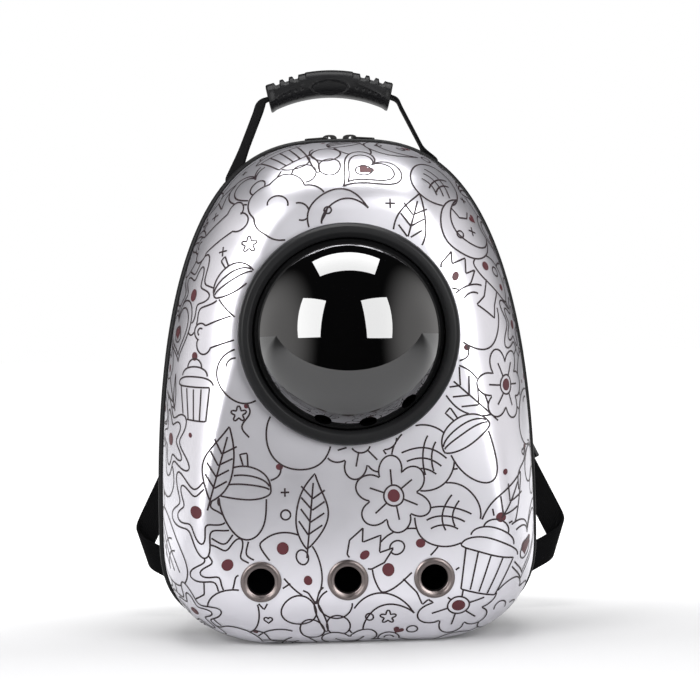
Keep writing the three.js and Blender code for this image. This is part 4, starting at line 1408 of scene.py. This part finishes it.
def resample(line, step):
    """The same line as points about one step apart."""
    return evenly(line, max(int(round(lengths(line)[-1] / step)), 2) + 1)


class Print:
    """A print on one skin. Motifs lie at random round a grid, and later ones lie over earlier ones."""

    def __init__(self, skin, seed, spacing, inner, outer, away_from=()):
        self.skin = skin
        self.rng = rng = random.Random(seed)
        self.away_from = away_from
        placed = []
        last = None
        rows = int(outer / (spacing * ROW_RATIO)) + 1
        for row in range(-rows, rows + 1):
            for column in range(-rows - 1, rows + 2):
                x = (column + 0.5 * (row % 2)) * spacing + rng.uniform(-MOTIF_STRAY, MOTIF_STRAY) * spacing
                z = row * spacing * ROW_RATIO + rng.uniform(-MOTIF_STRAY, MOTIF_STRAY) * spacing
                if not inner < math.hypot(x, z) < outer:
                    continue
                last = rng.choice([motif for motif in MOTIFS if motif is not last])
                size = rng.uniform(*MOTIF_SIZES) * spacing
                placed.append((last, x, z, size, math.radians(rng.uniform(-MOTIF_TURN, MOTIF_TURN))))
        rng.shuffle(placed)
        self.lines, self.fills = [], []
        drawn = [self.drawing(*motif) for motif in placed]
        for i, (lines, fills, hull) in enumerate(drawn):
            near = [h for _, _, h in drawn[i + 1:] if self.touch(hull, h)]
            for line in lines:
                self.clip(resample(line, LINE_STEP), near)
            for fill in fills:
                self.fill(fill, near)
        self.scatter(inner, outer, [h for _, _, h in drawn])

    @staticmethod
    def touch(a, b):
        return bool(np.all(a.min(axis=0) < b.max(axis=0)) and np.all(b.min(axis=0) < a.max(axis=0)))

    def drawing(self, kind, x, z, size, turn):
        """One motif in its place, with each line a little unsteady."""
        rng = self.rng
        spin = np.array([[math.cos(turn), -math.sin(turn)], [math.sin(turn), math.cos(turn)]])
        phase = [rng.uniform(0, 6.28) for _ in range(4)]

        def moved(line):
            line = np.asarray(line, float)
            wobble = 0.012 * np.stack([
                np.sin(9 * line[:, 1] + phase[0]) + np.sin(5 * line[:, 0] + phase[1]),
                np.sin(8 * line[:, 0] + phase[2]) + np.sin(6 * line[:, 1] + phase[3]),
            ], axis=-1)
            return (line + wobble) @ spin.T * size + [x, z]

        lines, fills, hull = kind()
        return [moved(line) for line in lines], [moved(fill) for fill in fills], moved(hull)

    def free(self, points):
        """Which flat points lie on the skin and clear of its fittings."""
        place, _, left = self.skin.lay(points)
        keep = (left > 0.004) & (np.linalg.norm(points, axis=1) > self.skin.opening + 0.007)
        for spot, radius in self.away_from:
            keep &= np.linalg.norm(place - np.array(spot), axis=1) > radius
        return keep

    def clip(self, line, near):
        """Keeps the runs of a line that are free and outside the hulls of later motifs."""
        keep = self.free(line)
        for hull in near:
            keep &= ~inside(line, hull)
        start = None
        for i in range(len(line) + 1):
            if i < len(line) and keep[i]:
                start = i if start is None else start
            elif start is not None:
                if i - start > 2:
                    self.lines.append(line[start:i])
                start = None

    def fill(self, outline, near):
        if not self.free(outline).all() or any(inside(outline, hull).any() for hull in near):
            return
        self.fills.append(resample(outline, FILL_STEP)[:-1])

    def scatter(self, inner, outer, hulls):
        """Small marks in what is left between the drawings."""
        rng = self.rng
        for _ in range(900):
            radius, turn = math.sqrt(rng.uniform(inner**2, outer**2)), rng.uniform(0, 2 * math.pi)
            spot = np.array([radius * math.sin(turn), radius * math.cos(turn)])
            size = rng.uniform(0.004, 0.0085)
            ring = circle(0, 0, size * 1.25, 14) + spot
            if any(inside(ring, hull).any() for hull in hulls) or not self.free(ring).all():
                continue
            kind = rng.choice(("ring", "heart", "star", "dot", "cross"))
            if kind == "dot":
                self.fills.append(circle(0, 0, size * 0.4, 16)[:-1] + spot)
            else:
                self.lines += [resample(line + spot, MARK_STEP) for line in self.mark(kind, size)]
            hulls.append(ring)

    @staticmethod
    def mark(kind, size):
        if kind == "ring":
            return [circle(0, 0, size * 0.7, 24)]
        if kind == "heart":
            return [heart_line(size * 1.7)]
        if kind == "star":
            return [polar(lambda a: size * (0.7 + 0.25 * np.cos(5 * a)), 50)]
        return [np.array([[-size, 0], [size, 0]]) * 0.7, np.array([[0, -size], [0, size]]) * 0.7]

    def ribbons(self, name, width=0.0014, lift=0.00022):
        """The drawn lines, as thin bands just over the skin."""
        verts, faces = [], []
        for line in self.lines:
            place, normal, _ = self.skin.lay(line)
            along = unit(np.gradient(place, axis=0))
            side = unit(np.cross(normal, along))
            place = place + normal * lift
            base = len(verts)
            for point, way in zip(place, side):
                verts += [point - way * width / 2, point + way * width / 2]
            corners = [base + 2 * k for k in range(len(line) - 1)]
            faces += [(k, k + 2, k + 3, k + 1) for k in corners]
        return self.finished(name, verts, faces, line_ink)

    def patches(self, name, lift=0.0002):
        """The filled accents, as small patches just over the skin."""
        verts, faces = [], []
        for outline in self.fills:
            middle = outline.mean(axis=0)
            size = len(outline)
            ring, half_ring = outline, middle + (outline - middle) * 0.55
            rings = np.concatenate([ring, half_ring, middle[None]])
            place, normal, _ = self.skin.lay(rings)
            base = len(verts)
            verts += list(place + normal * lift)
            for k in range(size):
                j = (k + 1) % size
                faces.append((base + k, base + j, base + size + j, base + size + k))
                faces.append((base + size + k, base + size + j, base + 2 * size))
        return self.finished(name, verts, faces, maroon_ink)

    def finished(self, name, verts, faces, material):
        verts = np.array(verts)
        corners = np.array([face[:3] for face in faces])
        a, b, c = (verts[corners[:, k]] for k in range(3))
        facing = np.cross(b - a, c - a)
        flip = np.sum(facing * (a - BODY_MIDDLE), axis=1) < 0
        faces = [tuple(reversed(face)) if turned else face for face, turned in zip(faces, flip)]
        piece = build(name, verts, faces, [material], smooth=60, closed=False)
        return piece


def make_print():
    vents = [(point, VENT_OUTER + 0.0015) for point, _ in vent_places]
    front = Print(front_skin, 11, 0.052, 0.075, 0.30, vents)
    front.ribbons("print_lines_front")
    front.patches("print_accents_front")
    back = Print(back_skin, 29, 0.056, 0.10, 0.34)
    back.ribbons("print_lines_back")
    back.patches("print_accents_back")


make_tapes()
make_chain()
make_hinge()
make_sliders()
make_ring()
make_dome()
make_vents()
make_handle()
make_back_panel()
make_strap(-1, "left", SHELL_WIDTH / 2 + 0.0268)
make_strap(1, "right", SHELL_WIDTH / 2 + 0.040)
make_print()
make_camera()
make_stage()

bpy.context.view_layer.update()
